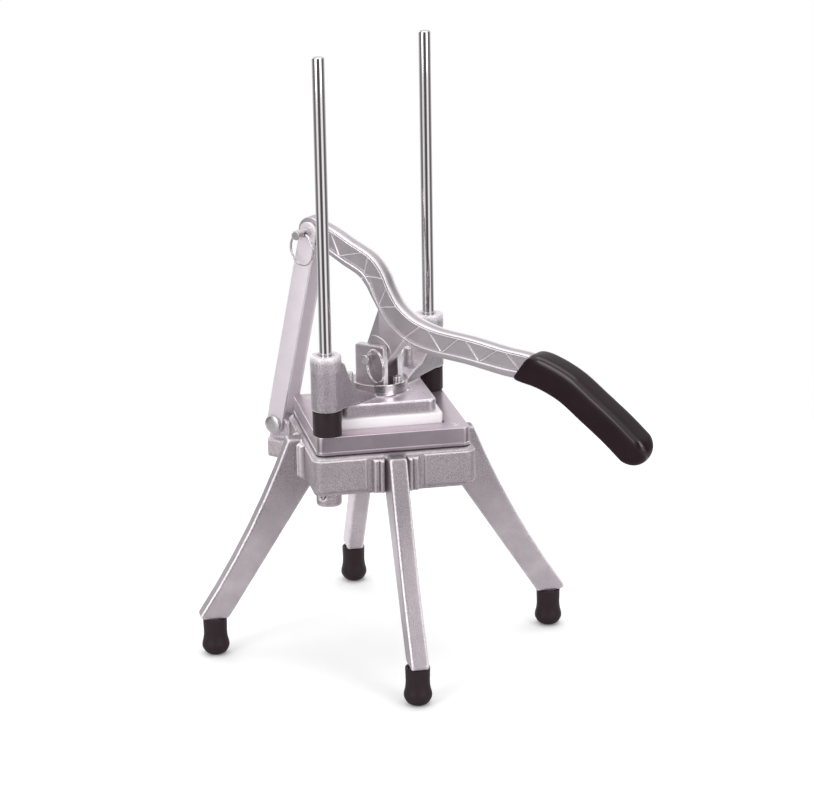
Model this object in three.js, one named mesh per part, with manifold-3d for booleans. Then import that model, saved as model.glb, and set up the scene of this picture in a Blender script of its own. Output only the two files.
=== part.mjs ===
// Lever dicer for the table top: a cast base on four splayed legs, a tray of crossed blades,
// and a pusher head that a long lever drives down two guide rods.
// Millimetres, Z up. The pieces are laid out from the point on the table under the middle of
// the blade tray: the lever points along +X, the guide rods stand on the Y axis, and the link
// is at the -X corner. At the end the whole is moved so that the origin is on the table, under
// the middle of its outline.

import * as THREE from "three";
import { mergeVertices } from "three/addons/utils/BufferGeometryUtils.js";
import Module from "manifold-3d";

const wasm = await Module();
wasm.setup();

// Driving dimensions

const runGap = 0.35; // clearance between faces that turn or slide
const seatGap = 0.3; // clearance between round pieces that sit together
const overrun = 2; // how far a cutting tool passes its face
const weld = 0.0005; // distance at which mesh vertices are one

const seatZ = 187; // table to the seat of the blade tray
const foodSide = 88.9; // square of food that one stroke cuts
const diceSize = 12.7; // side of one cube of food
const openingPlay = 1.5; // pusher block to the side of the tray opening
const openingCorner = 4;

const trayRim = 17.3; // width of the rim round the opening
const trayHeight = 16;
const trayCorner = 6;
const trayLip = 0.8; // how far the foot lip of the tray stands out
const trayLipHeight = 2.6;
const trayBreak = 0.8; // broken top edge

const bladeThick = 1;
const bladeDepth = 5.8; // height of the cutting strip
const bladeBevel = 1.6; // height of the ground edge
const bladeReach = 6; // length of each blade end inside the rim
const bladeTab = 4.4; // length of the tab that stands on the base
const layerGap = 0.9; // upper strips to lower strips

const ledge = 3.6; // flat of the base that shows round the tray
const caseCorner = 8.5;
const caseBreak = 2; // chamfer round the top of the base
const flangeThick = 5;
const skirtDepth = 30.2;
const skirtWall = 6;
const chuteMargin = 1.2; // base opening beyond the tray opening

const rodDiameter = 10;
const rodTopZ = 510;
const rodBreak = 1.2;
const socketDiameter = 21;
const socketDrop = 13.6; // socket below the skirt
const socketFloor = 4;
const setScrewDiameter = 5;
const setScrewHex = 2.5; // across the corners of its drive
const setScrewHexDepth = 2;
const setScrewRise = 9; // above the bottom of the socket

const legSpan = 144.5; // middle of the part to the centre of a foot
const legWidth = 15;
const legEdge = 1.2; // chamfer along the legs
const legTopOut = 12; // leg beyond the side of the base at its top
const legTopDrop = 1.5;
const legFootDepth = 24; // radial depth of the leg over its foot
const legFootOut = 1; // leg beyond the middle of its foot
const legFootZ = 32.5; // underside of the leg
const legHeel = 3.5; // rounded outer corner at the foot
const legRootIn = 14; // how far in the inner edge starts, from the side of the base
const legSwayShare = 0.028; // hollow of the outer edge, as a share of its length
const shoulderWidth = 12; // thick pad each side of a leg
const shoulderOut = 2.6;
const shoulderDrop = 2.4; // pad below the skirt
const shoulderBreak = 1.2;

const tipTopDiameter = 20.2;
const tipBulbDiameter = 23;
const tipBulbZ = 8.5; // height of the widest part
const tipWaistZ = 17;
const tipFlatDiameter = 11;
const tipSteps = 16;
const tipGap = 0.3; // leg to the top of its tip
const stubDiameter = 13;
const stubLength = 20;

const pivotX = -103; // lower pin of the link
const pivotZ = 177.5;
const linkTopX = -62; // upper pin of the link, with the lever down
const linkTopZ = 350.5;
const linkWidth = 16;
const linkThick = 3.2;
const lugThick = 14; // rear lug and lever at the pins
const lugRadius = 7.4;
const lugBlockWidth = 21;
const lugBlockDepth = 17; // height of the block under the rear lug
const lugBlockReach = 111.5; // middle plane to the back of the block
const lugBlockTopZ = 164;
const lugBlockBreak = 1.5;

const pinDiameter = 8;
const pinHeadDiameter = 15.6;
const pinHeadThick = 2.6;
const pinHeadDome = 0.8;
const pinTail = 17; // pin beyond the link on its ring side
const pinTailShort = 6.5; // pin beyond the clevis ear
const pinBreak = 0.8;
const ringDiameter = 29; // split ring, outside
const ringWire = 2.4;
const ringTurn = THREE.MathUtils.degToRad(-11); // hanging ring turned about the vertical
const clevisRingTurn = THREE.MathUtils.degToRad(25);
const clevisRingDroop = THREE.MathUtils.degToRad(14); // how far it has dropped from level
const ringHolePlay = 1.1;
const ringHoleInset = 9.5; // cross hole from the end of the long pins
const ringHoleInsetShort = 3.6;

const clevisRise = 20.2; // clevis pin above the disc
const discDiameter = 48;
const discThick = 9.8;
const discBreak = 1.2;
const earWidth = 28.6;
const earThick = 6.3;
const earRise = 11; // ear above the pin
const earCorner = 3;
const clevisScrewSpan = 18.6;
const clevisScrewHead = 7.4;
const clevisScrewHeight = 4;
const clevisScrewShank = 4.4;
const clevisScrewBite = 8; // screw below the disc
const driveSocket = 4.2; // across the corners of a hex drive
const driveDepth = 2.2;

const plateSide = 81;
const plateCorner = 6;
const plateThick = 11;
const plateBreak = 1.2;
const bossDiameter = 25.2;
const bossHeight = 45.5;
const bossRound = 2.2;
const armRootOut = 12; // disc to where the arm's hollow back is lowest
const armRootDrop = 0.2; // that place below the disc's top
const armHeadDrop = 7.5; // top of the arm below the boss
const armNeckIn = 10.2; // top of the arm's back to the middle of the boss
const bushingWall = 2.2;
const bushingProud = 0.8;

const blockRise = 8; // pusher block above the tray, head down
const blockPlate = 9; // solid plate of the pusher block above its fingers
const blockCorner = 3;
const fingerPlay = 0.55; // finger to the blade beside it
const fingerPast = 2.8; // fingers below the seat of the tray, head down
const fingerTaper = 0.25;
const blockScrewSpan = 25.4; // pusher block screws from the middle
const blockScrewHead = 6.4;
const blockScrewHeadThick = 2.6;
const blockScrewShank = 3.6;
const blockScrewBite = 7; // length in the head plate
const blockScrewSink = 1; // head above the roof of the fingers

const bumperDiameter = 23.5;
const bumperHeight = 20.6;
const bumperBreak = 1.6;
const bumperGap = 0.4; // bumper to the boss above it
const bumperPlay = 1.93; // bumper to the corner of the pusher block

const leverDepth = 20; // height of the lever's section
const leverTopRim = 3.2; // height of the section's rims
const leverFootRim = 4.6;
const leverWeb = 9.4; // thickness of the web
const leverEdge = 0.9; // chamfer along the rims
const leverEyeRadius = 11.6; // rear eye
const leverLugRadius = 12.6; // round of the lug in the clevis
const leverBossRadius = 18.5; // full thickness round the clevis pin
const leverLugFrontX = 34; // X where the lug runs into the lever in front
const leverLugRearX = 12;
const leverRib = 1.6;
const ribSink = 0.8; // ribs below the rims
const leverSteps = 26;

const gripEndX = 246; // end of the grip's middle line
const gripEndZ = 207;
const gripDepth = 27;
const gripWidth = 24;
const gripSquareness = 0.62; // 1 is an ellipse, 0 a rectangle
const gripEnd = 8.6; // length of the rounded end
const gripMouthX = 143;
const gripMouthLean = 0.6; // slope of the mouth against a square cut
const gripSides = 20;
const gripSteps = 10;

const trayScrewInset = 15; // from the square corner of the tray
const trayScrewHead = 7.6;
const trayScrewShank = 4.4;
const trayScrewHeadHeight = 4;
const trayScrewBite = 10; // length in the base

const roundSteps = 24;
const pinSteps = 18; // sides of pins, rods and their holes
const smallSteps = 10; // sides of small screws and cross holes
const cornerSteps = 3;

// Derived sizes

const trayOpening = foodSide + 2 * openingPlay;
const traySide = trayOpening + 2 * trayRim;
const trayTopZ = seatZ + trayHeight;
const caseSide = traySide + 2 * ledge;
const blockReach = foodSide * Math.SQRT1_2 - blockCorner * (Math.SQRT2 - 1); // to the block's round corner
const rodHalfSpan = blockReach + bumperPlay + bumperDiameter / 2;
const skirtZ = seatZ - skirtDepth;
const socketZ = skirtZ - socketDrop;
const rodHole = rodDiameter + 2 * seatGap;
const quarterTurn = Math.PI / 2;
const eighthTurn = Math.PI / 4;
const rodBottomZ = socketZ + socketFloor + seatGap;
const lowerBladeZ = seatZ + runGap;
const upperBladeZ = lowerBladeZ + bladeDepth + layerGap;
const bladeCount = Math.round(foodSide / diceSize) - 1;
const linkInnerY = lugThick / 2 + runGap;
const linkOuterY = linkInnerY + linkThick;
const linkLength = Math.hypot(linkTopX - pivotX, linkTopZ - pivotZ);
const linkLean = Math.atan2(linkTopX - pivotX, linkTopZ - pivotZ);
const earInnerY = lugThick / 2 + runGap;
const earOuterY = earInnerY + earThick;
const pinHole = pinDiameter + 2 * seatGap;
const ringRadius = (ringDiameter - ringWire) / 2;
const ringHole = ringWire + 2 * ringHolePlay;
const blockTopZ = trayTopZ + blockRise;
const fingerEndZ = seatZ - fingerPast;
const plateTopZ = blockTopZ + plateThick;
const discBottomZ = plateTopZ;
const discTopZ = discBottomZ + discThick;
const clevisZ = discTopZ + clevisRise;
const bossBottomZ = trayTopZ + bumperHeight + bumperGap;
const bossTopZ = bossBottomZ + bossHeight;
const armRoot = discDiameter / 2 + armRootOut;
const armRootZ = discTopZ - armRootDrop;
const armNeck = rodHalfSpan - armNeckIn;
const armHeadZ = bossTopZ - armHeadDrop;
const trayScrewX = traySide * Math.SQRT1_2 - trayScrewInset;

// Solids and cuts

function toSolid(geometry) {
  const bare = geometry.clone();
  for (const key of Object.keys(bare.attributes)) {
    if (key !== "position") bare.deleteAttribute(key);
  }
  const merged = mergeVertices(bare, weld);
  const corners = merged.index.array;
  const faces = [];
  for (let i = 0; i < corners.length; i += 3) {
    const [a, b, c] = [corners[i], corners[i + 1], corners[i + 2]];
    if (a !== b && b !== c && c !== a) faces.push(a, b, c);
  }
  return new wasm.Manifold(new wasm.Mesh({
    numProp: 3,
    vertProperties: new Float32Array(merged.attributes.position.array),
    triVerts: new Uint32Array(faces),
  }));
}

function join(...solids) {
  return solids.reduce((sum, next) => sum.add(next));
}

function cut(solid, ...tools) {
  return tools.reduce((rest, tool) => rest.subtract(tool), solid);
}

function toGeometry(solid) {
  const mesh = solid.getMesh();
  const geometry = new THREE.BufferGeometry();
  geometry.setAttribute("position", new THREE.BufferAttribute(new Float32Array(mesh.vertProperties), 3));
  geometry.setIndex(new THREE.BufferAttribute(new Uint32Array(mesh.triVerts), 1));
  const flat = geometry.toNonIndexed();
  flat.computeVertexNormals();
  return flat;
}

// A body turned about Z from a profile of [radius, height] pairs, outside first and upwards
function turned(profile, steps = roundSteps) {
  const points = profile.map(([radius, height]) => new THREE.Vector2(radius, height));
  const geometry = new THREE.LatheGeometry(points, steps);
  return geometry.rotateX(quarterTurn);
}

function rod(diameter, z0, z1, chamfer = 0, steps = pinSteps) {
  const r = diameter / 2;
  const profile = chamfer > 0
    ? [[0, z0], [r - chamfer, z0], [r, z0 + chamfer], [r, z1 - chamfer], [r - chamfer, z1], [0, z1]]
    : [[0, z0], [r, z0], [r, z1], [0, z1]];
  return turned(profile, steps);
}

// A rod along Y between two Y values
function crossRod(diameter, x, z, y0, y1, chamfer = 0, steps = pinSteps) {
  const geometry = rod(diameter, y0, y1, chamfer, steps);
  return geometry.rotateX(-quarterTurn).translate(x, 0, z);
}

// Outline of a square with rounded corners, sides along X and Y
function squareOutline(side, corner) {
  const points = [];
  const reach = side / 2 - corner;
  for (let quarter = 0; quarter < 4; quarter += 1) {
    const start = quarter * quarterTurn;
    const centre = new THREE.Vector2(reach, reach).rotateAround(new THREE.Vector2(), start);
    for (let step = 0; step <= cornerSteps; step += 1) {
      const angle = start + (step / cornerSteps) * quarterTurn;
      points.push(new THREE.Vector2(centre.x + corner * Math.cos(angle), centre.y + corner * Math.sin(angle)));
    }
  }
  return points;
}

// A closed body through rings of points that share one count, each ring seen counterclockwise
function loft(rings) {
  const count = rings[0].length;
  const positions = rings.flat().flatMap((point) => [point.x, point.y, point.z]);
  const faces = [];
  for (let level = 0; level < rings.length - 1; level += 1) {
    for (let i = 0; i < count; i += 1) {
      const a = level * count + i;
      const b = level * count + ((i + 1) % count);
      faces.push(a, b, b + count, a, b + count, a + count);
    }
  }
  for (const [ring, first] of [[rings[0], true], [rings[rings.length - 1], false]]) {
    const middle = new THREE.Vector3();
    ring.forEach((point) => middle.add(point));
    middle.divideScalar(count);
    positions.push(middle.x, middle.y, middle.z);
    const hub = positions.length / 3 - 1;
    const base = first ? 0 : (rings.length - 1) * count;
    for (let i = 0; i < count; i += 1) {
      const next = base + ((i + 1) % count);
      faces.push(...(first ? [hub, next, base + i] : [hub, base + i, next]));
    }
  }
  const geometry = new THREE.BufferGeometry();
  geometry.setAttribute("position", new THREE.Float32BufferAttribute(positions, 3));
  geometry.setIndex(faces);
  return geometry;
}

// A square block on the part's axis, turned so that its corners lie on X and Y
function squareBlock(levels) {
  const rings = levels.map(([side, corner, z]) =>
    squareOutline(side, corner).map((point) => new THREE.Vector3(point.x, point.y, z)));
  return loft(rings).rotateZ(eighthTurn);
}

// A slab whose outline lies in X and Z, spread evenly about a Y value
function slab(outline, thick, y = 0, chamfer = 0) {
  const shape = new THREE.Shape(outline);
  const geometry = new THREE.ExtrudeGeometry(shape, {
    depth: thick - 2 * chamfer,
    bevelEnabled: chamfer > 0,
    bevelThickness: chamfer,
    bevelSize: chamfer,
    bevelOffset: -chamfer,
    bevelSegments: 1,
    curveSegments: cornerSteps,
  });
  return geometry.translate(0, 0, chamfer - thick / 2).rotateX(quarterTurn).translate(0, y, 0);
}

function box(width, depth, height, x, y, z) {
  return new THREE.BoxGeometry(width, depth, height).translate(x, y, z);
}

function arcPoints(x, z, radius, from, to, steps) {
  const points = [];
  for (let step = 0; step <= steps; step += 1) {
    const angle = from + (to - from) * (step / steps);
    points.push(new THREE.Vector2(x + radius * Math.cos(angle), z + radius * Math.sin(angle)));
  }
  return points;
}

// Finishes

function finish(color, roughness, metalness) {
  return new THREE.MeshStandardMaterial({ color, roughness, metalness });
}

const castAluminium = finish(0xb4aeb3, 0.42, 0.9);
const polishedSteel = finish(0xc9c8ca, 0.16, 1);
const bladeSteel = finish(0xc4c6c8, 0.22, 1);
const blackRubber = finish(0x2b2628, 0.6, 0);
const blackVinyl = finish(0x17161a, 0.16, 0);
const whitePlastic = finish(0xe9e6e4, 0.4, 0);
const bushingSteel = finish(0xbdb9bc, 0.3, 1);

// Base casting

// Side view of a leg: x is the distance from the middle of the part
function legOutline() {
  const topOut = new THREE.Vector2(caseSide / 2 + legTopOut, seatZ - legTopDrop);
  const heelOut = new THREE.Vector2(legSpan + legFootOut + legFootDepth / 2, legFootZ + legHeel);
  const sway = topOut.distanceTo(heelOut) * legSwayShare;
  const along = heelOut.clone().sub(topOut).normalize();
  const bend = topOut.clone().add(heelOut).divideScalar(2);
  bend.add(new THREE.Vector2(along.y, -along.x).multiplyScalar(2 * sway));
  const outer = new THREE.QuadraticBezierCurve(topOut, bend, heelOut).getPoints(cornerSteps * 2);
  const heel = arcPoints(heelOut.x - legHeel, heelOut.y, legHeel, 0, -quarterTurn, cornerSteps);
  return [
    new THREE.Vector2(caseSide / 2 - skirtWall, seatZ - flangeThick),
    new THREE.Vector2(caseSide / 2 - skirtWall, seatZ - legTopDrop),
    ...outer,
    ...heel.slice(1),
    new THREE.Vector2(legSpan + legFootOut - legFootDepth / 2, legFootZ),
    new THREE.Vector2(caseSide / 2 - legRootIn, skirtZ),
    new THREE.Vector2(caseSide / 2 - skirtWall, skirtZ),
  ].reverse();
}

function shoulders() {
  const width = legWidth + 2 * shoulderWidth;
  const inner = caseSide / 2 - skirtWall;
  const outer = caseSide / 2 + shoulderOut;
  const top = seatZ - caseBreak - legTopDrop;
  const outline = [
    new THREE.Vector2(inner, skirtZ - shoulderDrop),
    new THREE.Vector2(outer - shoulderBreak, skirtZ - shoulderDrop),
    new THREE.Vector2(outer, skirtZ - shoulderDrop + shoulderBreak),
    new THREE.Vector2(outer, top - shoulderOut),
    new THREE.Vector2(outer - shoulderOut, top),
    new THREE.Vector2(inner, top),
  ];
  return slab(outline, width, 0, shoulderBreak);
}

function rearLug() {
  const blockFront = -caseSide / 2;
  const bottom = lugBlockTopZ - lugBlockDepth;
  const blockOutline = [
    new THREE.Vector2(blockFront, bottom),
    new THREE.Vector2(blockFront, lugBlockTopZ),
    new THREE.Vector2(-lugBlockReach, lugBlockTopZ),
    new THREE.Vector2(-lugBlockReach, bottom),
  ];
  const tongue = [
    new THREE.Vector2(blockFront, bottom + lugBlockBreak),
    new THREE.Vector2(blockFront, lugBlockTopZ + lugRadius),
    ...arcPoints(pivotX, pivotZ, lugRadius, eighthTurn, Math.PI, cornerSteps * 2),
    new THREE.Vector2(pivotX - lugRadius, lugBlockTopZ - lugBlockBreak),
    new THREE.Vector2(pivotX, bottom + lugBlockBreak),
  ];
  return join(
    toSolid(slab(blockOutline, lugBlockWidth, 0, lugBlockBreak)),
    toSolid(slab(tongue, lugThick)),
  );
}

function baseSolid() {
  const chute = trayOpening + 2 * chuteMargin;
  const outerLevels = [
    [caseSide, caseCorner, skirtZ],
    [caseSide, caseCorner, seatZ - caseBreak],
    [caseSide - 2 * caseBreak, caseCorner - caseBreak, seatZ],
  ];
  const innerSide = caseSide - 2 * skirtWall;
  const innerCorner = caseCorner - skirtWall;
  let solid = toSolid(squareBlock(outerLevels));
  solid = cut(solid, toSolid(squareBlock([
    [innerSide, innerCorner, skirtZ - overrun],
    [innerSide, innerCorner, seatZ - flangeThick],
  ])));
  const leg = legOutline();
  for (let i = 0; i < 4; i += 1) {
    const angle = eighthTurn + i * quarterTurn;
    solid = join(solid, toSolid(slab(leg, legWidth, 0, legEdge).rotateZ(angle)));
    solid = join(solid, toSolid(shoulders().rotateZ(angle)));
    const stub = rod(stubDiameter, legFootZ - stubLength, legFootZ + legHeel, 0, smallSteps)
      .translate(legSpan, 0, 0).rotateZ(angle);
    solid = join(solid, toSolid(stub));
  }
  solid = cut(solid, toSolid(squareBlock([
    [chute, openingCorner, skirtZ],
    [chute, openingCorner, seatZ + overrun],
  ])));
  solid = join(solid, rearLug());
  for (const side of [-1, 1]) {
    const y = side * rodHalfSpan;
    solid = join(solid, toSolid(rod(socketDiameter, socketZ, seatZ - flangeThick / 2).translate(0, y, 0)));
  }
  for (const side of [-1, 1]) {
    const y = side * rodHalfSpan;
    const hole = rod(rodHole, socketZ + socketFloor, seatZ + overrun).translate(0, y, 0);
    const screwZ = socketZ + setScrewRise;
    const tapped = crossRod(
      setScrewDiameter + 2 * seatGap, 0, screwZ, y, y + side * (socketDiameter / 2 + overrun), 0, smallSteps,
    );
    solid = cut(solid, toSolid(hole), toSolid(side > 0 ? tapped : flipped(screwZ, y)));
    solid = cut(solid, toSolid(rod(trayScrewShank + 2 * seatGap, seatZ - trayScrewBite - runGap, seatZ + overrun,
      0, smallSteps).translate(side * trayScrewX, 0, 0)));
  }
  const pivotBore = crossRod(pinHole, pivotX, pivotZ, -lugThick, lugThick);
  return cut(solid, toSolid(pivotBore));
}

function flipped(screwZ, y) {
  const reach = socketDiameter / 2 + overrun;
  return crossRod(setScrewDiameter + 2 * seatGap, 0, screwZ, y - reach, y, 0, smallSteps);
}

function setScrew() {
  const length = socketDiameter / 2 - rodHole / 2;
  const body = toSolid(rod(setScrewDiameter, 0, length, pinBreak / 2, smallSteps));
  const drive = rod(setScrewHex, length - setScrewHexDepth, length + overrun, 0, 6);
  return cut(body, toSolid(drive));
}

function tipSolid() {
  const top = legFootZ - tipGap;
  const bulb = tipBulbDiameter / 2;
  const neck = tipTopDiameter / 2;
  const profile = [[0, 0], [tipFlatDiameter / 2, 0]];
  for (let step = 1; step <= cornerSteps; step += 1) {
    const angle = (step / cornerSteps) * quarterTurn;
    const spread = (bulb - tipFlatDiameter / 2) * Math.sin(angle);
    profile.push([tipFlatDiameter / 2 + spread, tipBulbZ * (1 - Math.cos(angle))]);
  }
  for (let step = 1; step <= cornerSteps; step += 1) {
    const share = step / cornerSteps;
    const ease = (1 - Math.cos(share * Math.PI)) / 2;
    profile.push([bulb + (neck - bulb) * ease, tipBulbZ + (tipWaistZ - tipBulbZ) * share]);
  }
  profile.push([neck, top], [0, top]);
  const bore = stubDiameter + 2 * seatGap;
  return cut(
    toSolid(turned(profile, tipSteps)),
    toSolid(rod(bore, legFootZ - stubLength - seatGap, top + overrun, 0, tipSteps)),
  );
}

// Blade tray

function bladeSlots() {
  const slot = bladeThick + 2 * seatGap;
  const length = trayOpening + 2 * (bladeReach + seatGap);
  const cutters = [];
  for (let i = 0; i < bladeCount; i += 1) {
    const offset = (i - (bladeCount - 1) / 2) * diceSize;
    for (const [turn, top] of [[0, lowerBladeZ + bladeDepth], [quarterTurn, upperBladeZ + bladeDepth]]) {
      const height = top + seatGap - seatZ + overrun;
      const cutter = box(length, slot, height, 0, offset, seatZ - overrun + height / 2);
      cutters.push(toSolid(cutter.rotateZ(turn + eighthTurn)));
    }
  }
  return cutters;
}

function traySolid() {
  const lipSide = traySide + 2 * trayLip;
  let solid = join(
    toSolid(squareBlock([
      [lipSide, trayCorner, seatZ],
      [lipSide, trayCorner, seatZ + trayLipHeight],
    ])),
    toSolid(squareBlock([
      [traySide, trayCorner, seatZ],
      [traySide, trayCorner, trayTopZ - trayBreak],
      [traySide - 2 * trayBreak, trayCorner - trayBreak, trayTopZ],
    ])),
  );
  solid = cut(solid, toSolid(squareBlock([
    [trayOpening, openingCorner, seatZ - overrun],
    [trayOpening, openingCorner, trayTopZ + overrun],
  ])));
  for (const side of [-1, 1]) {
    solid = cut(
      solid,
      toSolid(rod(rodHole, seatZ - overrun, trayTopZ + overrun).translate(0, side * rodHalfSpan, 0)),
      toSolid(rod(trayScrewShank + 2 * seatGap, seatZ - overrun, trayTopZ + overrun, 0, smallSteps)
        .translate(side * trayScrewX, 0, 0)),
      toSolid(rod(trayScrewHead + 2 * seatGap, trayTopZ - trayScrewHeadHeight - seatGap, trayTopZ + overrun,
        0, smallSteps).translate(side * trayScrewX, 0, 0)),
    );
  }
  return cut(solid, ...bladeSlots());
}

function traySeatScrew() {
  const headZ = trayTopZ - trayScrewHeadHeight;
  const body = join(
    toSolid(rod(trayScrewShank, seatZ - trayScrewBite, headZ + seatGap, 0, smallSteps)),
    toSolid(rod(trayScrewHead, headZ, trayTopZ - seatGap, pinBreak / 2, smallSteps)),
  );
  return cut(body, toSolid(rod(driveSocket, trayTopZ - seatGap - driveDepth, trayTopZ + overrun, 0, 6)));
}

// A blade lies along X at height zero, its ground edge up and its end tabs down
function bladeSolid(tabDrop) {
  const half = trayOpening / 2 + bladeReach;
  const section = [
    new THREE.Vector2(-half, 0),
    new THREE.Vector2(half, 0),
    new THREE.Vector2(half, bladeDepth),
    new THREE.Vector2(-half, bladeDepth),
  ];
  let solid = toSolid(slab(section, bladeThick));
  for (const side of [-1, 1]) {
    const grind = new THREE.Shape([
      new THREE.Vector2(0, bladeDepth),
      new THREE.Vector2(side * bladeThick / 2, bladeDepth - bladeBevel),
      new THREE.Vector2(side * bladeThick, bladeDepth - bladeBevel),
      new THREE.Vector2(side * bladeThick, bladeDepth + overrun),
      new THREE.Vector2(0, bladeDepth + overrun),
    ]);
    const tool = new THREE.ExtrudeGeometry(grind, { depth: trayOpening, bevelEnabled: false });
    tool.translate(0, 0, -trayOpening / 2).rotateX(quarterTurn).rotateZ(quarterTurn);
    solid = cut(solid, toSolid(tool));
    if (tabDrop > 0) {
      const x = side * (half - bladeTab / 2);
      solid = join(solid, toSolid(box(bladeTab, bladeThick, tabDrop + bladeBevel, x, 0, (bladeBevel - tabDrop) / 2)));
    }
  }
  return solid;
}

// Pusher head

// Side view of one arm: x is the distance from the middle along Y
function armOutline() {
  const back = new THREE.CubicBezierCurve(
    new THREE.Vector2(armRoot, armRootZ),
    new THREE.Vector2(armRoot + (armNeck - armRoot) / 2, armRootZ),
    new THREE.Vector2(armNeck - (armNeck - armRoot) / 5, (armRootZ + armHeadZ) / 2),
    new THREE.Vector2(armNeck, armHeadZ),
  ).getPoints(cornerSteps * 2);
  return [
    new THREE.Vector2(0, blockTopZ + plateBreak),
    new THREE.Vector2(plateSide / 2, blockTopZ + plateBreak),
    new THREE.Vector2(plateSide / 2, bossBottomZ - plateBreak),
    new THREE.Vector2(rodHalfSpan - bossDiameter / 3, bossBottomZ),
    new THREE.Vector2(rodHalfSpan, bossBottomZ),
    new THREE.Vector2(rodHalfSpan, armHeadZ),
    ...back.reverse(),
    new THREE.Vector2(discDiameter / 3, discBottomZ),
    new THREE.Vector2(0, discBottomZ),
  ];
}

function headSolid() {
  let solid = toSolid(squareBlock([
    [plateSide, plateCorner, blockTopZ],
    [plateSide, plateCorner, plateTopZ - plateBreak],
    [plateSide - 2 * plateBreak, plateCorner - plateBreak, plateTopZ],
  ]));
  const r = bossDiameter / 2;
  const roundTop = arcPoints(r - bossRound, bossTopZ - bossRound, bossRound, 0, quarterTurn, cornerSteps);
  const bossProfile = [[0, bossBottomZ], [r, bossBottomZ], ...roundTop.map((p) => [p.x, p.y]), [0, bossTopZ]];
  for (const side of [-1, 1]) {
    const arm = slab(armOutline(), bossDiameter - 2 * seatGap, 0, plateBreak).rotateZ(side * quarterTurn);
    solid = join(solid, toSolid(arm));
    solid = join(solid, toSolid(turned(bossProfile).translate(0, side * rodHalfSpan, 0)));
  }
  const recess = rod(discDiameter + 2 * seatGap, discBottomZ, discTopZ + overrun, 0, roundSteps);
  solid = cut(solid, toSolid(recess));
  for (const side of [-1, 1]) {
    const bore = rodDiameter + 2 * (runGap + bushingWall + seatGap);
    const y = side * rodHalfSpan;
    solid = cut(
      solid,
      toSolid(rod(bore, bossBottomZ - overrun, bossTopZ + overrun).translate(0, y, 0)),
      toSolid(rod(clevisScrewShank + 2 * seatGap, discBottomZ - clevisScrewBite, discBottomZ + overrun,
        0, smallSteps).translate(side * clevisScrewSpan, 0, 0)),
    );
  }
  for (const [x, y] of blockScrewPlaces()) {
    solid = cut(solid, toSolid(rod(blockScrewShank + 2 * seatGap, blockTopZ - overrun,
      blockTopZ + blockScrewBite + seatGap, 0, smallSteps).translate(x, y, 0)));
  }
  return solid;
}

function bushingSolid() {
  const inner = rodDiameter / 2 + runGap;
  const outer = inner + bushingWall;
  return toSolid(turned([
    [inner, bossBottomZ], [outer, bossBottomZ], [outer, bossTopZ], [outer - bushingProud, bossTopZ + bushingProud],
    [inner, bossTopZ + bushingProud], [inner, bossBottomZ],
  ], pinSteps));
}

// Screws stand under the fingers that lie on the block's diagonals
function blockScrewPlaces() {
  const places = [];
  for (let i = 0; i < 4; i += 1) {
    const angle = i * quarterTurn;
    const reach = blockScrewSpan * Math.SQRT2;
    places.push([reach * Math.cos(angle), reach * Math.sin(angle)]);
  }
  return places;
}

function pusherBlockSolid() {
  const fingerRootZ = blockTopZ - blockPlate;
  let solid = toSolid(squareBlock([
    [foodSide, blockCorner, fingerRootZ],
    [foodSide, blockCorner, blockTopZ],
  ]));
  const side = diceSize - bladeThick - 2 * fingerPlay;
  const count = bladeCount + 1;
  const middle = (count - 1) / 2;
  for (let row = 0; row < count; row += 1) {
    for (let column = 0; column < count; column += 1) {
      const x = (row - middle) * diceSize;
      const y = (column - middle) * diceSize;
      const tip = side - 2 * fingerTaper;
      const finger = loft([
        [[-tip, -tip], [tip, -tip], [tip, tip], [-tip, tip]].map(([a, b]) =>
          new THREE.Vector3(x + a / 2, y + b / 2, fingerEndZ)),
        [[-side, -side], [side, -side], [side, side], [-side, side]].map(([a, b]) =>
          new THREE.Vector3(x + a / 2, y + b / 2, fingerRootZ + bladeThick)),
      ]);
      solid = join(solid, toSolid(finger.rotateZ(eighthTurn)));
    }
  }
  const headRoof = fingerRootZ + blockScrewSink;
  for (const [x, y] of blockScrewPlaces()) {
    solid = cut(
      solid,
      toSolid(rod(blockScrewShank + 2 * seatGap, headRoof, blockTopZ + overrun, 0, smallSteps)
        .translate(x, y, 0)),
      toSolid(rod(blockScrewHead + 2 * seatGap, fingerEndZ - overrun, headRoof + blockScrewHeadThick + seatGap,
        0, smallSteps).translate(x, y, 0)),
    );
  }
  return solid;
}

function blockScrewSolid() {
  const headRoof = blockTopZ - blockPlate + blockScrewSink;
  const top = headRoof + blockScrewHeadThick;
  const body = join(
    toSolid(rod(blockScrewHead, headRoof, top, pinBreak / 2, smallSteps)),
    toSolid(rod(blockScrewShank, top - seatGap, blockTopZ + blockScrewBite, 0, smallSteps)),
  );
  return cut(body, toSolid(rod(driveSocket - leverEdge, headRoof - overrun, headRoof + driveDepth / 2, 0, 6)));
}

// Clevis bracket, pins and rings

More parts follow.
